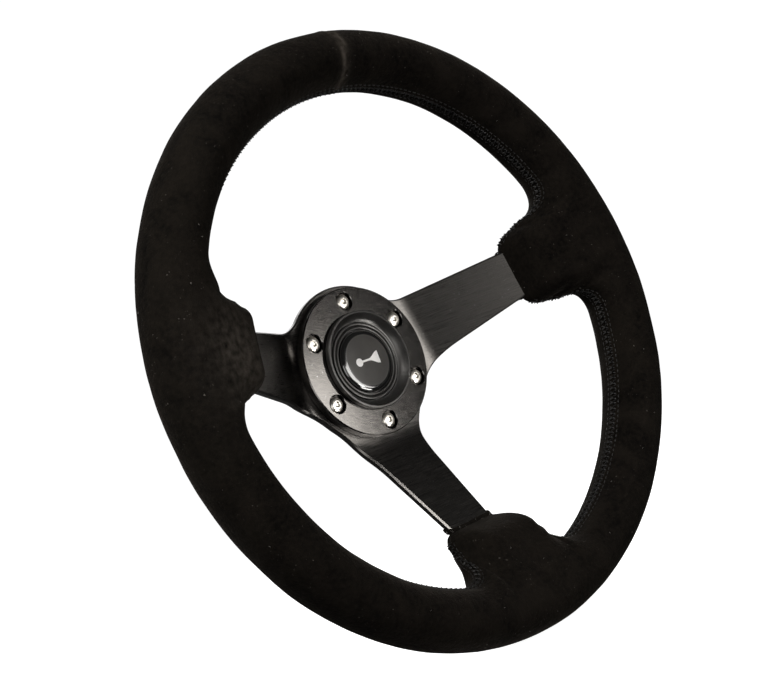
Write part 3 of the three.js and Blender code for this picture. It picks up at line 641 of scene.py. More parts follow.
def brushed_look(name, level, roughness, anisotropy, grain, relief, scratches):
    """Black anodised aluminium, brushed along the V of its brush map."""
    look = Look(name, Metallic=1.0, Anisotropic=anisotropy)
    fine = look.noise(look.place((*grain, 1), True), 1, 3)
    broad = look.noise(look.place((grain[0] / 4, grain[1] / 3, 1), True), 1, 3)
    stain = look.ranged(look.noise(look.place(), 26, 3, 0.8), 0.3, 0.7)
    streak = look.ranged(fine, 0.25, 0.75)
    colour = look.mixed(streak, grey(level * 0.8, 0.05), grey(level * 1.3, 0.05))
    colour = look.mixed(look.ranged(broad, 0.62, 0.36), colour, grey(level * 0.75, 0.04))
    colour = look.mixed(look.product(stain, 0.35), colour, grey(level * 0.7, 0.05))
    nicks = look.product(look.ranged(look.noise(look.place(), 700, 1), 0.72, 0.76),
                         look.ranged(look.noise(look.place(), 60, 1), 0.5, 0.6))
    colour = look.mixed(look.product(nicks, scratches), colour, grey(0.4))
    rough = look.ranged(look.product(broad, streak), 0.1, 0.45, roughness * 0.75, roughness * 1.3)
    tangent = look.node("ShaderNodeTangent")
    tangent.direction_type = "UV_MAP"
    tangent.uv_map = "brush"
    return look.set(Base_Color=colour, Roughness=rough, Tangent=tangent.outputs["Tangent"],
                    Normal=look.bump(fine, relief, 0.00006))


def moulded_look(name, level, roughness, grain=1400, depth=0.00008, warm=0.03, **uniform):
    """Plastic, rubber or paint with a fine grain."""
    look = Look(name, **uniform)
    where = look.place()
    cloud = look.ranged(look.noise(where, 55, 3), 0.3, 0.7)
    grains = look.noise(where, grain, 3)
    colour = look.mixed(cloud, grey(level * 0.85, warm), grey(level * 1.15, warm))
    rough = look.ranged(look.noise(where, 210, 3), 0.3, 0.7, roughness - 0.04, roughness + 0.06)
    return look.set(Base_Color=colour, Roughness=rough, Normal=look.bump(grains, 0.25, depth))


def metal_look(name, colour, roughness):
    """Bare or plated metal with handling marks."""
    look = Look(name, Metallic=1.0)
    where = look.place()
    cloud = look.ranged(look.noise(where, 120, 4), 0.3, 0.7)
    marks = look.noise(where, 1600, 3)
    dark = tuple(c * 0.7 for c in colour[:3]) + (1,)
    rough = look.ranged(look.noise(where, 420, 3), 0.3, 0.7, roughness - 0.05, roughness + 0.1)
    return look.set(Base_Color=look.mixed(cloud, dark, colour), Roughness=rough,
                    Normal=look.bump(marks, 0.2, 0.00005))


def lens_look():
    """Clear gloss over a printed dark grey disc with a thin pale edge, on black."""
    look = Look("gloss_black_lens", Roughness=0.12, Coat_Weight=1.0, Coat_Roughness=0.03)
    parts = look.node("ShaderNodeSeparateXYZ", Vector=look.place())
    flat = look.node("ShaderNodeCombineXYZ", X=parts.outputs["X"], Y=parts.outputs["Z"])
    length = look.node("ShaderNodeVectorMath", Vector=flat.outputs["Vector"])
    length.operation = "LENGTH"
    radius = length.outputs["Value"]
    disc = look.ranged(radius, DOME_DISC_R * MM, (DOME_DISC_R - 0.4) * MM)
    rim = look.product(disc, look.ranged(radius, (DOME_DISC_R - 1.2) * MM, (DOME_DISC_R - 0.2) * MM))
    cloud = look.ranged(look.noise(look.place(), 70, 2), 0.3, 0.7)
    printed = look.mixed(cloud, grey(0.058, 0.06), grey(0.076, 0.06))
    colour = look.mixed(disc, grey(0.004), look.mixed(look.product(rim, 0.35), printed, grey(0.12)))
    specks = look.noise(look.place(), 900, 2)
    return look.set(Base_Color=colour, Normal=look.bump(specks, 0.05, 0.00002))


def thread_look():
    """Waxed black thread with a twist."""
    look = Look("stitch_thread", Roughness=0.45, Specular_IOR_Level=0.3)
    where = look.place()
    twist = look.noise(where, 2400, 2)
    worn = look.ranged(look.noise(where, 300, 2), 0.35, 0.65)
    colour = look.mixed(worn, grey(0.0012, 0.12), grey(0.0045, 0.12))
    return look.set(Base_Color=colour, Normal=look.bump(twist, 0.6, 0.0002))


suede = suede_look("black_suede")
# its paler nap is wear at the cross seam and a painted sheen on the left boss
suede_creased_and_sheen = suede_look("black_suede_creased_and_sheen", worn=True)
plate_black = brushed_look("anodised_plate_black", 0.115, 0.33, 0.6, (8000, 120), 0.12, scratches=0.4)
ring_black = brushed_look("anodised_ring_black", 0.122, 0.155, 0.5, (7000, 420), 0.05, scratches=0.8)
satin_black = moulded_look("satin_black_paint", 0.07, 0.38, Metallic=0.7, Specular_IOR_Level=0.6)
gloss_black = lens_look()
housing_black = moulded_look("housing_black", 0.018, 0.5, grain=900, depth=0.0002)
phenolic_brown = moulded_look("phenolic_brown", 0.11, 0.5, warm=0.45)
mark_white = moulded_look("mark_white", 0.85, 0.35, warm=0.01, depth=0.00001)
lint_pale = moulded_look("lint_pale", 0.2, 0.9, warm=0.06)
screw_bright = metal_look("screw_bright_zinc", (0.86, 0.83, 0.77, 1), 0.32)
core_steel = metal_look("core_steel_mill", (0.42, 0.42, 0.43, 1), 0.45)
rivet_steel = metal_look("rivet_steel_zinc", (0.55, 0.55, 0.56, 1), 0.38)
spring_steel = metal_look("spring_steel_wire", (0.5, 0.51, 0.53, 1), 0.3)
contact_brass = metal_look("contact_brass_sheet", (0.66, 0.47, 0.2, 1), 0.3)
thread = thread_look()


# ---- suede grip ----

SEAM_BAND = 4.2  # half the width of the laced seam on the inside of the rim
STITCH_PITCH = 3.3
CROSS_SEAM_ANGLE = math.radians(91)  # where the cover's two ends meet
SEAM_OFFSETS = np.array([0, 0.5, 1.0, 1.6, 2.4, 3.2, 4.2, 5.4])  # rows of the mesh beside the seam
SECTION_ROWS = 56  # rows round the rest of the section
SEAM_DEPTH, SEAM_WIDTH = 0.9, 0.8  # groove between the cover's edges
SEAM_LIP = 0.35  # suede gathered beside the groove
CROSS_SEAM_DEPTH, CROSS_SEAM_LIP = 0.55, 0.3
UNEVENNESS = 0.32  # of the padding under the suede
PAINTED_SHEEN_AT = np.array([-132, 16, 84])  # painted sheen: where the left boss's inner slope is painted paler
PAINTED_SHEEN_RANGE = np.array([22, 26, 40])
PAINTED_SHEEN_STRENGTH = 0.7


def seam_sections(sections):
    """The sections again, each starting at the seam on the rim's inside and sampled by length."""
    count = sections.shape[1]
    closed = np.roll(sections, -count // 2, axis=1)
    closed = np.concatenate([closed, closed[:, :1]], axis=1)
    made = []
    for section in closed:
        along = walked(section)
        rest = np.linspace(SEAM_OFFSETS[-1], along[-1] - SEAM_OFFSETS[-1], SECTION_ROWS)
        wanted = np.concatenate([SEAM_OFFSETS[:-1], rest, along[-1] - SEAM_OFFSETS[:0:-1]])
        made.append([np.interp(wanted, along, section[:, i]) for i in range(3)])
    return np.transpose(np.array(made), (0, 2, 1))


def surface_normals(grid):
    """Outward normals of a closed grid of points."""
    around = np.roll(grid, -1, axis=0) - np.roll(grid, 1, axis=0)
    across = np.roll(grid, -1, axis=1) - np.roll(grid, 1, axis=1)
    normals = unit(np.cross(around, across))
    outward = grid - grid.mean(axis=1, keepdims=True)
    return normals * np.sign(np.mean(np.sum(normals * outward, -1)))


def signed_offsets(grid):
    """Each row's length from the seam round the section, negative on the far side."""
    steps = np.linalg.norm(np.roll(grid, -1, axis=1) - grid, axis=-1)
    along = np.concatenate([np.zeros((len(grid), 1)), np.cumsum(steps, axis=1)], axis=1)
    return np.where(along[:, :-1] > along[:, -1:] / 2, along[:, :-1] - along[:, -1:], along[:, :-1])


def at_mouth(stations):
    """1 where a station is on a mouth's straight edge, next to the spoke, and 0 on the open grip."""
    angle, inner, spoke = stations
    local = np.array([turned(p, -s) for p, s in zip(inner, spoke)])
    beside = smooth(18, 14, np.abs(local[:, 1]))
    return np.where(local[:, 0] < MOUTH_S + 6, beside, 0)


def hump(x, width):
    """1 at 0, falling smoothly to nothing a few widths away."""
    return np.exp(-((x / width) ** 2))


def shaped_grip(stations, grid):
    """The grip's points with its laced seam, its cross seam and the unevenness of hand wrapping,
    its normals, and how pale the nap is made at each point: worn at the cross seam, and a painted sheen on
    the left boss."""
    normals = surface_normals(grid)
    offset = signed_offsets(grid)
    seam = (1 - at_mouth(stations))[:, None]
    lip = SEAM_LIP * hump(np.abs(offset) - 2.2, 1.1)
    lift = seam * (-SEAM_DEPTH * hump(offset, SEAM_WIDTH) + lip)
    angle = (stations[0] % TURN)[:, None]
    waviness = 0.7 * np.sin(offset * 0.11) + 0.3 * np.sin(offset * 0.37 + 1)
    along = (angle - CROSS_SEAM_ANGLE) * GRIP_R + waviness
    lift = lift - CROSS_SEAM_DEPTH * hump(along, 0.7) + CROSS_SEAM_LIP * hump(np.abs(along) - 1.7, 1.0)
    uneven = np.array([[noise.noise(Vector(p) * 0.035) + 0.35 * noise.noise(Vector(p) * 0.11) for p in row]
                       for row in grid])
    lift = lift + UNEVENNESS * uneven * (1 - 0.7 * hump(offset, 5))
    crease = 0.9 * hump(along, 1.5) + 0.25 * hump(along, 4.5)
    facing_driver = np.cos(offset / 36) > 0
    from_painted_sheen = np.linalg.norm((grid - PAINTED_SHEEN_AT) / PAINTED_SHEEN_RANGE, axis=-1)
    # the crease at the cross seam is wear; the patch on the left boss's inner slope is a painted sheen
    wear_and_sheen = crease * np.where(facing_driver, 1, 0.5) + PAINTED_SHEEN_STRENGTH * hump(from_painted_sheen, 1)
    return grid + normals * lift[..., None], normals, wear_and_sheen


stations = grip_stations()
grip_grid = seam_sections(grip_sections(stations, np.linspace(0, TURN, 241)[:-1]))
grip_grid, grip_normals, wear_and_sheen = shaped_grip(stations, grip_grid)
flat_grid = grip_grid.reshape(-1, 3)
grip = piece("suede_grip", flat_grid, facing_out(flat_grid, grid_faces(*grip_grid.shape[:2])),
             suede_creased_and_sheen, "suede", ["rim_cover", "rim_foam"], sharp=60)
# the attribute holds the worn cross seam and the painted sheen on the left boss
wear_and_sheen_attribute = grip.data.attributes.new("wear_and_sheen", "FLOAT", "POINT")
wear_and_sheen_attribute.data.foreach_set("value", wear_and_sheen.ravel().astype(np.float32))


# ---- laced seam round the inside of the rim ----


def seam_strip():
    """Rows of grip points and normals beside the seam, ordered across it, with their offsets."""
    last = len(SEAM_OFFSETS) - 1
    columns = list(range(-last, last + 1))
    offsets = np.concatenate([-SEAM_OFFSETS[:0:-1], SEAM_OFFSETS])
    return grip_grid[:, columns], grip_normals[:, columns], offsets


def seam_runs():
    """Runs of stations between the mouths, each as a list of station numbers."""
    open_grip = at_mouth(stations) < 0.1
    starts = [i for i in range(len(open_grip)) if open_grip[i] and not open_grip[i - 1]]
    runs = []
    for start in starts:
        run, i = [], start
        while open_grip[i % len(open_grip)]:
            run.append(i % len(open_grip))
            i += 1
        runs.append(run)
    return runs


def seam_surface(run):
    """A function from (length along the run, offset across the seam) to a point and its normal."""
    points, normals, offsets = seam_strip()
    points, normals = points[run], normals[run]
    along = walked(points[:, len(offsets) // 2])

    def at(s, d, lift):
        i = np.interp(s, along, np.arange(len(run)))
        j = np.interp(d, offsets, np.arange(len(offsets)))
        i0, j0 = int(min(i, len(run) - 2)), int(min(j, len(offsets) - 2))
        u, v = i - i0, j - j0
        weights = ((1 - u) * (1 - v), u * (1 - v), (1 - u) * v, u * v)
        cells = ((i0, j0), (i0 + 1, j0), (i0, j0 + 1), (i0 + 1, j0 + 1))
        point = sum(w * points[c] for w, c in zip(weights, cells))
        normal = unit(sum(w * normals[c] for w, c in zip(weights, cells)))
        return point + lift * normal

    return at, along[-1]


STITCH_SUNK = 0.42  # depth of a stitch's ends in the suede
THREAD_R = 0.36
LACING_R = 0.4


def stitch(at, start, end, height, steps=5):
    """One stitch: a short arch from hole to hole, its ends sunk into the suede."""
    path = []
    for t in np.linspace(0, 1, steps):
        s = start[0] + (end[0] - start[0]) * t
        d = start[1] + (end[1] - start[1]) * t
        path.append(at(s, d, -STITCH_SUNK + height * math.sin(math.pi * t) ** 0.6))
    return path


def seam_stitches():
    """Two rows of edge stitches and the lacing that crosses between them."""
    edge_rows, lacing = [], []
    for run in seam_runs():
        at, length = seam_surface(run)
        for i in range(int(length / STITCH_PITCH) - 1):
            s = (i + 0.5) * STITCH_PITCH
            shift = random.uniform(-0.45, 0.45)
            for side in (1, -1):
                edge = side * (SEAM_BAND + random.uniform(-0.15, 0.15))
                edge_rows.append(stitch(at, (s + 0.3, edge), (s + STITCH_PITCH - 0.3, edge), 0.6))
                near = side * (SEAM_BAND - 1.1)
                crossing = (s + shift, -near), (s + STITCH_PITCH * 0.95, near)
                lacing.append(stitch(at, *crossing, 1.0 if side > 0 else 1.35))
    return edge_rows, lacing


edge_rows, lacing = seam_stitches()
piece("edge_stitching", *tubes(edge_rows, THREAD_R), thread, "suede")
piece("cross_lacing", *tubes(lacing, LACING_R), thread, "suede")


# ---- turned edges of the suede at the spokes, and lint ----


def spoke_half(s):
    """Half the spoke's width at a distance from the axis."""
    return SPOKE_HALF_AT_HUB - (s - HUB_BEND_S) * math.tan(TAPER)


def spoke_mid_z(s):
    """Height of the plate's middle on the straight part of a spoke."""
    return PLATE_T / 2 + (s - HUB_BEND_S) * SPOKE_SLOPE


def hem_path(angle, s, clearance):
    """A closed loop close round the spoke where it enters the grip."""
    half = spoke_half(s) + clearance
    rise = (PLATE_T / 2 + clearance) / math.cos(SPOKE_TILT)
    corners = np.array([(-half, -rise), (half, -rise), (half, rise), (-half, rise)])
    loop = rounded_outline(corners, 1.6, 6)
    loop = resampled(np.vstack([loop, loop[:1]]), 1.1)[:-1]
    lean = np.tan(SPOKE_TILT) * 0.25  # the hem lies a little flatter on the spoke than the mouth
    points = [[s + lean * z, h, spoke_mid_z(s) + z] for h, z in loop]
    return np.array([[*turned(p[:2], angle), p[2]] for p in points])


def hem_mesh(angle, s, along_half, thick_half, wobble):
    """A soft roll of suede round the spoke, a little uneven."""
    path = hem_path(angle, s, thick_half * 0.8)
    centre = path.mean(0)
    ahead = unit(np.roll(path, -1, axis=0) - np.roll(path, 1, axis=0))
    spoke_dir = np.array([math.cos(angle), math.sin(angle), SPOKE_SLOPE])
    along = unit(spoke_dir - ahead * (ahead @ spoke_dir)[:, None])
    out = np.cross(ahead, along)
    out = out * np.sign(np.sum(out * (path - centre), axis=1))[:, None]
    vertices, sides = [], 12
    for point, a, o in zip(path, along, out):
        swell = 1 + wobble * noise.noise(Vector(point) * 0.35)
        drift = wobble * 1.4 * noise.noise(Vector(point) * 0.2 + Vector((5, 3, 1)))
        for j in range(sides):
            t = TURN * j / sides
            on_spoke = a * (along_half * swell * math.cos(t) + drift)
            vertices.append(point + on_spoke + o * thick_half * swell * math.sin(t))
    vertices = np.array(vertices)
    return vertices, facing_out(vertices, grid_faces(len(path), sides))


HEMS = {  # place along the spoke, half length along it, half thickness, unevenness
    "right": (MOUTH_S + 0.3, 0.75, 0.5, 0.15),
    "left": (MOUTH_S + 0.3, 0.75, 0.5, 0.15),
    "lower": (MOUTH_S - 1.0, 1.7, 0.6, 0.25),
}
for side, (s, along_half, thick_half, wobble) in HEMS.items():
    piece(f"suede_hem_{side}", *hem_mesh(SPOKE_ANGLES[side], s, along_half, thick_half, wobble),
          suede, "suede", [f"hem_{side}"], sharp=80)


def fibre(point, normal, length, lift=0.25):
    """A short curved fibre lying on the suede."""
    direction = unit(np.cross(normal, unit([random.uniform(-1, 1) for _ in range(3)])))
    bow = np.cross(normal, direction) * random.uniform(-0.4, 0.4) * length
    return [point + direction * length * t + bow * math.sin(math.pi * t) + normal * lift * (1 - t * 0.6)
            for t in (0, 0.33, 0.66, 1)]


LINT_PER_HEM = 26
LINT_ON_GRIP = 70
LINT_R = 0.09


def lint_fibres():
    fibres = []
    for side, (s, along_half, thick_half, _) in HEMS.items():
        path = hem_path(SPOKE_ANGLES[side], s, thick_half * 1.7)
        centre = path.mean(0)
        for _ in range(LINT_PER_HEM):
            point = path[random.randrange(len(path))]
            fibres.append(fibre(point, unit(point - centre), random.uniform(0.8, 1.9), 0.3))
    rows, columns = grip_grid.shape[:2]
    for _ in range(LINT_ON_GRIP):
        i, j = random.randrange(rows), random.randrange(columns)
        fibres.append(fibre(grip_grid[i, j], grip_normals[i, j], random.uniform(0.4, 1.1)))
    return fibres


piece("lint", *tubes(lint_fibres(), LINT_R, sides=4), lint_pale, "suede")


# ---- spoke plate ----


def spoke_flank(fillet_r):
    """One flank of a spoke, from its tip to the hub circle, and the angle where it gets there."""
    line_offset = HUB_BEND_S * math.sin(TAPER) + SPOKE_HALF_AT_HUB * math.cos(TAPER)
    reach = math.sqrt((HUB_R + fillet_r) ** 2 - (line_offset + fillet_r) ** 2)
    centre = turned([reach, line_offset + fillet_r], -TAPER)
    hub_angle = math.atan2(centre[1], centre[0])
    tip = (TAB_END_S - TAB_CORNER_R, spoke_half(TAB_END_S) - TAB_CORNER_R)
    corner = arc(tip, TAB_CORNER_R, 0, math.pi / 2, 6)
    root = arc(centre, fillet_r, -math.pi / 2 - TAPER, hub_angle - math.pi, 20)
    return np.vstack([corner, root]), hub_angle


def plate_outline():
    """The plate seen from the front: a round hub and tapering spokes with filleted roots."""
    lower, upper = spoke_flank(LOWER_FILLET_R), spoke_flank(UPPER_FILLET_R)
    spokes = [(SPOKE_ANGLES["lower"], lower, lower), (SPOKE_ANGLES["right"], lower, upper),
              (SPOKE_ANGLES["left"], upper, lower), (SPOKE_ANGLES["lower"] + TURN, lower, lower)]
    points = []
    for (angle, before, after), (following, _, _) in zip(spokes, spokes[1:]):
        flank, hub_angle = after
        points += list(turned(np.vstack([before[0][::-1] * [1, -1], flank]), angle))
        points += list(arc((0, 0), HUB_R, angle + hub_angle, following - hub_angle, 24)[1:-1])
    points = np.array(points)
    return resampled(np.vstack([points, points[:1]]), 1.6)[:-1]


def bent(points):
    """Flat plate points, with z measured from the plate's middle, bent along the spokes."""
    hub_start = HUB_BEND_S - HUB_BEND_R * math.tan(SPOKE_TILT / 2)
    rim_end = RIM_BEND_S + RIM_BEND_R * math.tan(SPOKE_TILT / 2)
    bend_reach = math.sin(SPOKE_TILT)
    angles = np.array(list(SPOKE_ANGLES.values()))
    plan, lift = points[:, :2], points[:, 2]
    reach = np.stack([turned(plan, -a)[:, 0] for a in angles])
    angle = angles[np.argmax(reach, axis=0)]
    s = reach.max(axis=0)
    from_hub = np.clip((s - hub_start) / HUB_BEND_R, 0, bend_reach)
    from_rim = np.clip((rim_end - s) / RIM_BEND_R, 0, bend_reach)
    tilt = np.minimum(np.arcsin(from_hub), np.arcsin(from_rim))
    tilt[s < hub_start] = 0
    near_hub = PLATE_T / 2 + HUB_BEND_R * (1 - np.cos(tilt))
    near_rim = TAB_MID_Z - RIM_BEND_R * (1 - np.cos(tilt))
    middle = np.where(s < hub_start + HUB_BEND_R * bend_reach, near_hub, spoke_mid_z(s))
    middle = np.where(s > rim_end - RIM_BEND_R * bend_reach, near_rim, middle)
    back = lift * np.sin(tilt)
    return np.column_stack([plan[:, 0] - back * np.cos(angle), plan[:, 1] - back * np.sin(angle),
                            middle + lift * np.cos(tilt)])


def spoke_rows():
    """Points inside the spokes, close together across the bends."""
    rows = np.concatenate([np.arange(40, 64, 1.4), np.arange(68, 136, 6), np.arange(140, 161, 1.4)])
    points = []
    for angle in SPOKE_ANGLES.values():
        for s in rows:
            half = spoke_half(max(s, HUB_BEND_S)) - 2.2
            for h in np.linspace(-half, half, 9):
                points.append(turned([s, h], angle))
    return np.array(points)


def screw_places():
    turns = [math.pi / 2 - TURN * i / SCREW_COUNT for i in range(SCREW_COUNT)]
    return [(BOLT_CIRCLE_R * math.cos(a), BOLT_CIRCLE_R * math.sin(a)) for a in turns]


half_t = PLATE_T / 2
plate_edge = edge_profile(PLATE_EDGE, half_t, -half_t)
hole_edge = edge_profile(BORE_EDGE, half_t, -half_t)
plate_loops = [(plate_outline(), plate_edge, True),
               (circle((0, 0), CENTRE_HOLE_R, 96, clockwise=True), hole_edge, True)]
for middle in screw_places():
    plate_loops.append((circle(middle, SCREW_R + 0.3, 24, clockwise=True), hole_edge, True))
flat_plate, plate_faces = slab(plate_loops, spoke_rows())
plate = piece("spoke_plate_brushed", bent(flat_plate), plate_faces, plate_black, "anodised_plate",
              ["spoke_plate"], sharp=30)
add_brush_map(plate, flat_plate[:, :2], 0)


# ---- retaining ring and screws ----

RING_BRUSHING = math.radians(-24)

ring_edge = edge_profile(RING_EDGE, RING_FACE, RING_BACK, both=False)
bore_edge = edge_profile(BORE_EDGE, RING_FACE, RING_FACE - COUNTERBORE_DEPTH, both=False)
ring_loops = [(circle((0, 0), RING_R, 160), ring_edge, True),
              (circle((0, 0), CENTRE_HOLE_R, 128, clockwise=True),
               edge_profile(BORE_EDGE, RING_FACE, RING_BACK, both=False), True)]
for middle in screw_places():
    ring_loops.append((circle(middle, COUNTERBORE_R, 48, clockwise=True), bore_edge, False))
ring_points, ring_faces = slab(ring_loops)
ring = piece("retaining_ring_brushed", ring_points, ring_faces, ring_black, "anodised_ring",
             ["retaining_ring"], sharp=30)
add_brush_map(ring, ring_points[:, :2], RING_BRUSHING)


def hexagon_radius(angle):
    """Distance from the middle to the side of the socket in a direction."""
    off = (angle + math.radians(30)) % math.radians(60) - math.radians(30)
    return SOCKET_ACROSS_FLATS / 2 / math.cos(off)


def screw_mesh(steps=48):
    """A button-head screw: threaded shank below z = 0, domed head above it, hexagon socket in that."""
    angles = [TURN * i / steps for i in range(steps)]
    shank = SCREW_SEAT + SCREW_BEHIND
    top, bottom = -SCREW_NECK, -shank + SCREW_TIP
    rings = [[(0, -shank)] * steps, [(SCREW_R - SCREW_TIP, -shank)] * steps]
    for k in range(int((top - bottom) / (THREAD_PITCH / 2))):
        radius = SCREW_R - (THREAD_DEPTH if k % 2 else 0)
        base = bottom + k * THREAD_PITCH / 2
        rings.append([(radius, min(base + THREAD_PITCH * a / TURN, top)) for a in angles])
    brim = [(SCREW_R, top), (SCREW_R, 0), (SCREW_HEAD_R - SCREW_BRIM_EDGE, 0),
            (SCREW_HEAD_R, SCREW_BRIM_EDGE), (SCREW_HEAD_R, SCREW_BRIM_H)]
    rings += [[point] * steps for point in brim]
    for t in np.linspace(0.12, 1, 9) * math.pi / 2:
        rings.append([(SCREW_CROWN_R + (SCREW_HEAD_R - SCREW_CROWN_R) * math.cos(t),
                       SCREW_BRIM_H + (SCREW_HEAD_H - SCREW_BRIM_H) * math.sin(t))] * steps)
    rings.append([(hexagon_radius(a) + 0.22, SCREW_HEAD_H) for a in angles])
    rings.append([(hexagon_radius(a), SCREW_HEAD_H - 0.2) for a in angles])
    rings.append([(hexagon_radius(a), SCREW_HEAD_H - SOCKET_DEPTH) for a in angles])
    rings.append([(0, SCREW_HEAD_H - SOCKET_DEPTH - SOCKET_CONE)] * steps)
    vertices = [(r * math.cos(a), r * math.sin(a), z) for ring in rings for (r, z), a in zip(ring, angles)]
    faces = []
    for start in range(0, len(vertices) - steps, steps):
        faces += band(range(start, start + steps), range(start + steps, start + 2 * steps))
    return np.array(vertices), faces


screw_points, screw_faces = screw_mesh()
screw_data = bpy.data.meshes.new("button_screw")
screw_data.from_pydata(in_row_frame(screw_points).tolist(), [], screw_faces)
screw_data.materials.append(screw_bright)
screw_data.shade_smooth()
screw_data.set_sharp_from_angle(angle=math.radians(40))
for i, (x, y) in enumerate(screw_places()):
    screw = bpy.data.objects.new(f"button_screw_{i + 1}", screw_data)
    screw.location = in_row_frame([x, y, SCREW_SEAT])[0]
    screw.rotation_euler = (0, math.radians(17 + 41 * i), 0)  # sockets stop at any angle
    place(screw, "screw_steel", [f"ring_screw_{i + 1}"])


# ---- horn button ----


def bezel_profile():
    """Rim standing on the ring, hollow slope down to the lip, and the skirt in the hole."""
    rim_flat = BEZEL_R - 1.3
    slope = []
    for t in np.linspace(0, 1, 22):
        slope.append((rim_flat - t * (rim_flat - BEZEL_LIP_R - 0.3),
                      BEZEL_LIP_Z + (BEZEL_RIM_Z - BEZEL_LIP_Z) * (1 - t) ** 1.75))
    rim = rounded((BEZEL_R, RING_FACE), (BEZEL_R, BEZEL_RIM_Z), (rim_flat, BEZEL_RIM_Z), 0.7, 5)
    back = [(BEZEL_LIP_R, BEZEL_LIP_Z - 0.3), (BEZEL_LIP_R, LIP_BACK_Z), (CUP_INNER_R, LIP_BACK_Z),
            (CUP_INNER_R, CUP_TOP_Z), (CUP_R, CUP_TOP_Z), (CUP_R, RING_FACE), (BEZEL_R - 0.4, RING_FACE),
            (BEZEL_R - 0.2, RING_FACE + 0.35), (BEZEL_R, RING_FACE + 0.5)]
    return [*map(tuple, rim), *slope, *back]


def cap_profile():
    """Two rounded ridges round a floor that the dome sits on."""
    ridges = []
    for outer, inner in ((CAP_R, CAP_R - 1.7), (CAP_R - 2.5, DOME_R + 0.5)):
        middle, half = (outer + inner) / 2, (outer - inner) / 2
        for t in np.linspace(0, math.pi, 9):
            ridges.append((middle + half * math.cos(t), CAP_CREST_Z - 0.75 + 0.75 * math.sin(t) ** 0.7))
    ridges.insert(9, (CAP_R - 2.1, CAP_CREST_Z - 1.2))
    return [(0, CAP_FLOOR_Z), (CUP_INNER_R - 0.3, CAP_FLOOR_Z), (CUP_INNER_R - 0.3, CAP_FLANGE_Z),
            (CAP_R, CAP_FLANGE_Z), *ridges, (DOME_R + 0.5, DOME_SEAT_Z - 0.3), (0, DOME_SEAT_Z - 0.3)]


def dome_z(r):
    """Height of the dome's face: a nearly flat disc inside a rounded shoulder."""
    disc = DOME_SAG * (1 - (r / DOME_DISC_R) ** 2)
    over = np.clip((r - DOME_DISC_R) / (DOME_R - DOME_DISC_R), 0, 1)
    disc_edge_z = DOME_TOP_Z - DOME_SAG
    shoulder = (disc_edge_z - DOME_EDGE_Z) * (1 - np.sqrt(np.clip(1 - over**2.2, 0, 1)))
    return np.where(r < DOME_DISC_R, disc_edge_z + disc, disc_edge_z - shoulder)


def dome_profile():
    radii = np.concatenate([np.linspace(0, DOME_DISC_R, 10), DOME_DISC_R + (DOME_R - DOME_DISC_R)
                            * np.sin(np.linspace(0.1, 1, 16) * math.pi / 2)])
    return [(0, DOME_SEAT_Z), (DOME_R, DOME_SEAT_Z), *[(r, float(dome_z(r))) for r in radii[:0:-1]],
            (0, float(dome_z(0)))]


def cup_profile():
    """Cup behind the bezel, with a moulded rim and a raised ring on its back."""
    back, neck = -CUP_DEPTH, CUP_R - 0.5
    raised = [(9, back), (9.3, back - 0.7), (11.2, back - 0.7), (11.5, back)]
    return [(0, back), *raised, *map(tuple, rounded((0, back), (neck, back), (neck, 0), 1.2)), (neck, -2.4),
            (neck + 0.3, -0.3), (CUP_R, 0.3), (CUP_R, CUP_TOP_Z - 0.3), (CUP_INNER_R, CUP_TOP_Z - 0.3),
            (CUP_INNER_R, -1.5), (CUP_INNER_R - 2, -1.5), (CUP_INNER_R - 2, back + CUP_WALL),
            (0, back + CUP_WALL)]


def horn_mark_outline():
    """A plain bulb horn: a round bulb, a thin neck and a flared bell."""
    bulb = arc((-6.4, 0), 2.5, math.radians(14), math.radians(346), 26)
    bell = [(x, 0.62 + 3.1 * smooth(0.5, 8.4, x) ** 1.25) for x in np.linspace(-3.2, 8.2, 16)]
    lower = [(x, -y) for x, y in bell]
    upper = [(x, y) for x, y in bell[::-1]]
    mouth = [(8.9, -3.9), (8.9, 3.9)]
    return resampled(np.array([*map(tuple, bulb), *lower, *mouth, *upper, tuple(bulb[0])]), 0.6)[:-1]


piece("horn_bezel_satin", *lathe(bezel_profile(), 160), satin_black, "satin_black", ["horn_bezel"])
piece("horn_cap_ridged", *lathe(cap_profile()), satin_black, "satin_black", ["horn_cap"],
      body="horn_button")
piece("horn_dome_gloss", *lathe(dome_profile()), gloss_black, "gloss_black", ["horn_dome"],
      body="horn_button")
piece("horn_cup_moulded", *lathe(cup_profile()), housing_black, "housing_black", ["horn_cup"])
piece("horn_clip_ring", *lathe(arc((CLIP_RING_R, -0.3 - CLIP_R), CLIP_R, 0, TURN, 14)[:-1]),
      spring_steel, "spring_steel", ["horn_clip"])

spring_back, spring_front = SPRING_SPAN
spring = piece("horn_spring_coil", *coil(SPRING_COIL_R, SPRING_WIRE_R, SPRING_TURNS, SPRING_SPAN),
               spring_steel, "spring_steel", ["horn_spring"])
spring_seat = in_row_frame([(0, 0, spring_back - SPRING_WIRE_R)])[0].tolist()
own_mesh(spring)

mark = horn_mark_outline()
if shoelace(mark) < 0:
    mark = mark[::-1]
lattice = np.array([(x, y) for x in np.arange(-9, 9, 0.7) for y in np.arange(-4, 4, 0.7)])
lattice = lattice[inside(lattice, [inset(mark, 0.2)])]
mark_points, mark_faces = slab([(mark, [(0, 0.04), (0, -0.2)], True)], lattice)  # printed, 0.04 proud
mark_points[:, 2] += dome_z(np.hypot(mark_points[:, 0], mark_points[:, 1]))
piece("horn_mark", mark_points, mark_faces, mark_white, "gloss_black", body="horn_button")


# ---- CAD nodes that stay ----

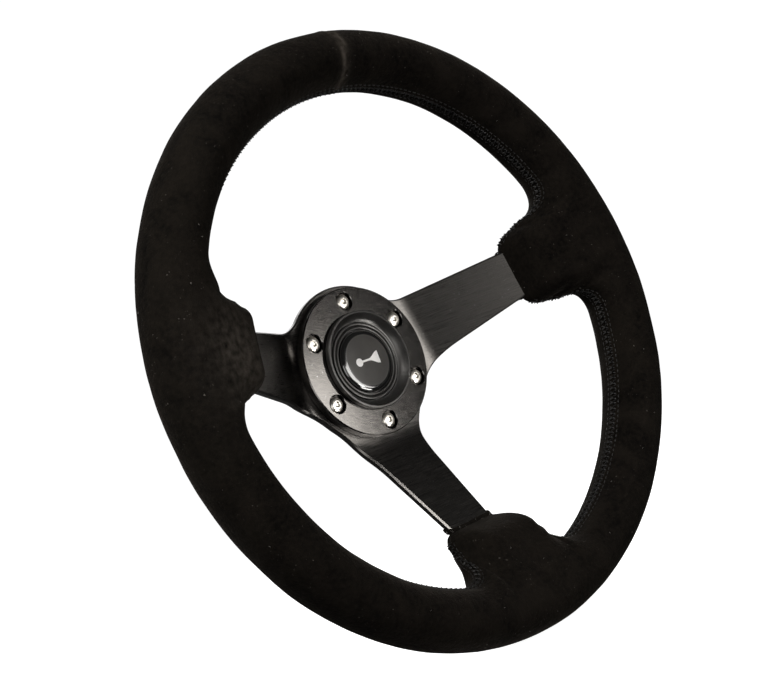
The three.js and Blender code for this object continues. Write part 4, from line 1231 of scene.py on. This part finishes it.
KEPT = {
    "rim_core_ring": core_steel,
    "horn_insulator": phenolic_brown,
    "horn_contact_fixed": contact_brass,
    "horn_contact_moving": contact_brass,
    "horn_terminal_live": contact_brass,
    "horn_terminal_earth": contact_brass,
}
KEPT |= {name: rivet_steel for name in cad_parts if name.startswith("rim_rivet_")}
for name, material in KEPT.items():
    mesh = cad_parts[name].data
    mesh.materials.clear()
    mesh.materials.append(material)


# ---- floor, light and camera ----


def area_light(name, towards, distance, width, height, power, warm=0.0):
    """A softbox seen from the hub in one direction, facing the hub."""
    data = bpy.data.lights.new(name, "AREA")
    data.shape = "RECTANGLE"
    data.size, data.size_y = width, height
    data.energy = power
    data.color = (1, 1 - warm * 0.4, 1 - warm)
    light = bpy.data.objects.new(name, data)
    light.location = Vector(towards).normalized() * distance
    light.rotation_euler = Vector(towards).to_track_quat("Z", "Y").to_euler()
    light.visible_camera = False
    bpy.context.scene.collection.objects.link(light)


def floor():
    """A wide pale floor under the wheel."""
    data = bpy.data.meshes.new("floor")
    reach, level = 60.0, CAD_BOX[0].z - 0.0005
    corners = [(-reach, -reach), (reach, -reach), (reach, reach), (-reach, reach)]
    data.from_pydata([(x, y, level) for x, y in corners], [], [(0, 1, 2, 3)])
    look = Look("pale_floor", Roughness=0.95, Specular_IOR_Level=0.1)
    look.shader.inputs["Emission Color"].default_value = (1, 1, 1, 1)
    look.shader.inputs["Emission Strength"].default_value = 1.0
    look.set(Base_Color=look.mixed(look.noise(look.place(), 3, 2), grey(0.8), grey(0.84)))
    data.materials.append(look.material)
    obj = bpy.data.objects.new("floor", data)
    obj.visible_diffuse = False  # it stays white behind the wheel and doesn't light it from below
    obj.visible_glossy = False
    bpy.context.scene.collection.objects.link(obj)


def studio():
    """White surroundings to the camera, dimmer as light."""
    world = bpy.data.worlds.new("studio")
    bpy.context.scene.world = world
    world.use_nodes = True
    nodes, links = world.node_tree.nodes, world.node_tree.links
    nodes.clear()
    seen = nodes.new("ShaderNodeBackground")
    seen.inputs["Color"].default_value = (1, 1, 1, 1)
    seen.inputs["Strength"].default_value = 1.05
    fill = nodes.new("ShaderNodeBackground")
    fill.inputs["Color"].default_value = (1, 0.985, 0.96, 1)
    fill.inputs["Strength"].default_value = 0.07
    path = nodes.new("ShaderNodeLightPath")
    mix = nodes.new("ShaderNodeMixShader")
    output = nodes.new("ShaderNodeOutputWorld")
    links.new(path.outputs["Is Camera Ray"], mix.inputs["Fac"])
    links.new(fill.outputs["Background"], mix.inputs[1])
    links.new(seen.outputs["Background"], mix.inputs[2])
    links.new(mix.outputs["Shader"], output.inputs["Surface"])


def camera():
    """The view from the driver's left, with the wheel turned in the frame."""
    data = bpy.data.cameras.new("camera")
    data.sensor_width = 36
    data.lens = CAMERA_LENS
    data.shift_x, data.shift_y = CAMERA_SHIFT
    data.clip_start, data.clip_end = 0.01, 200
    forward = Vector(CAMERA_FORWARD).normalized()
    level = forward.cross(Vector((0, 0, 1))).normalized()
    right = Matrix.Rotation(math.radians(CAMERA_ROLL), 3, forward) @ level
    up = right.cross(forward)
    obj = bpy.data.objects.new("camera", data)
    obj.matrix_world = Matrix.Translation(CAMERA_AT) @ Matrix((right, up, -forward)).transposed().to_4x4()
    bpy.context.scene.collection.objects.link(obj)
    bpy.context.scene.camera = obj


floor()
studio()
camera()
area_light("front_softbox", (0.325, -0.939, -0.111), 1.3, 0.85, 0.46, 10.5, warm=0.06)
area_light("front_left_softbox", (-0.113, -0.991, -0.070), 1.3, 0.4, 0.46, 1.05, warm=0.06)
area_light("front_spot", (0.304, -0.883, -0.358), 1.3, 0.2, 0.2, 5, warm=0.05)
area_light("upper_left_softbox", (-0.66, -0.34, 0.68), 1.3, 0.35, 0.35, 16, warm=0.05)
area_light("left_fill", (-0.727, -0.678, -0.105), 0.95, 0.5, 0.5, 2.4, warm=0.04)
area_light("low_softbox", (0.2, -0.62, -0.76), 1.0, 0.45, 0.45, 10, warm=0.05)
area_light("back_softbox", (0.5, 0.8, 0.55), 1.5, 0.9, 0.9, 6.5)
bpy.context.scene.view_settings.view_transform = "Standard"
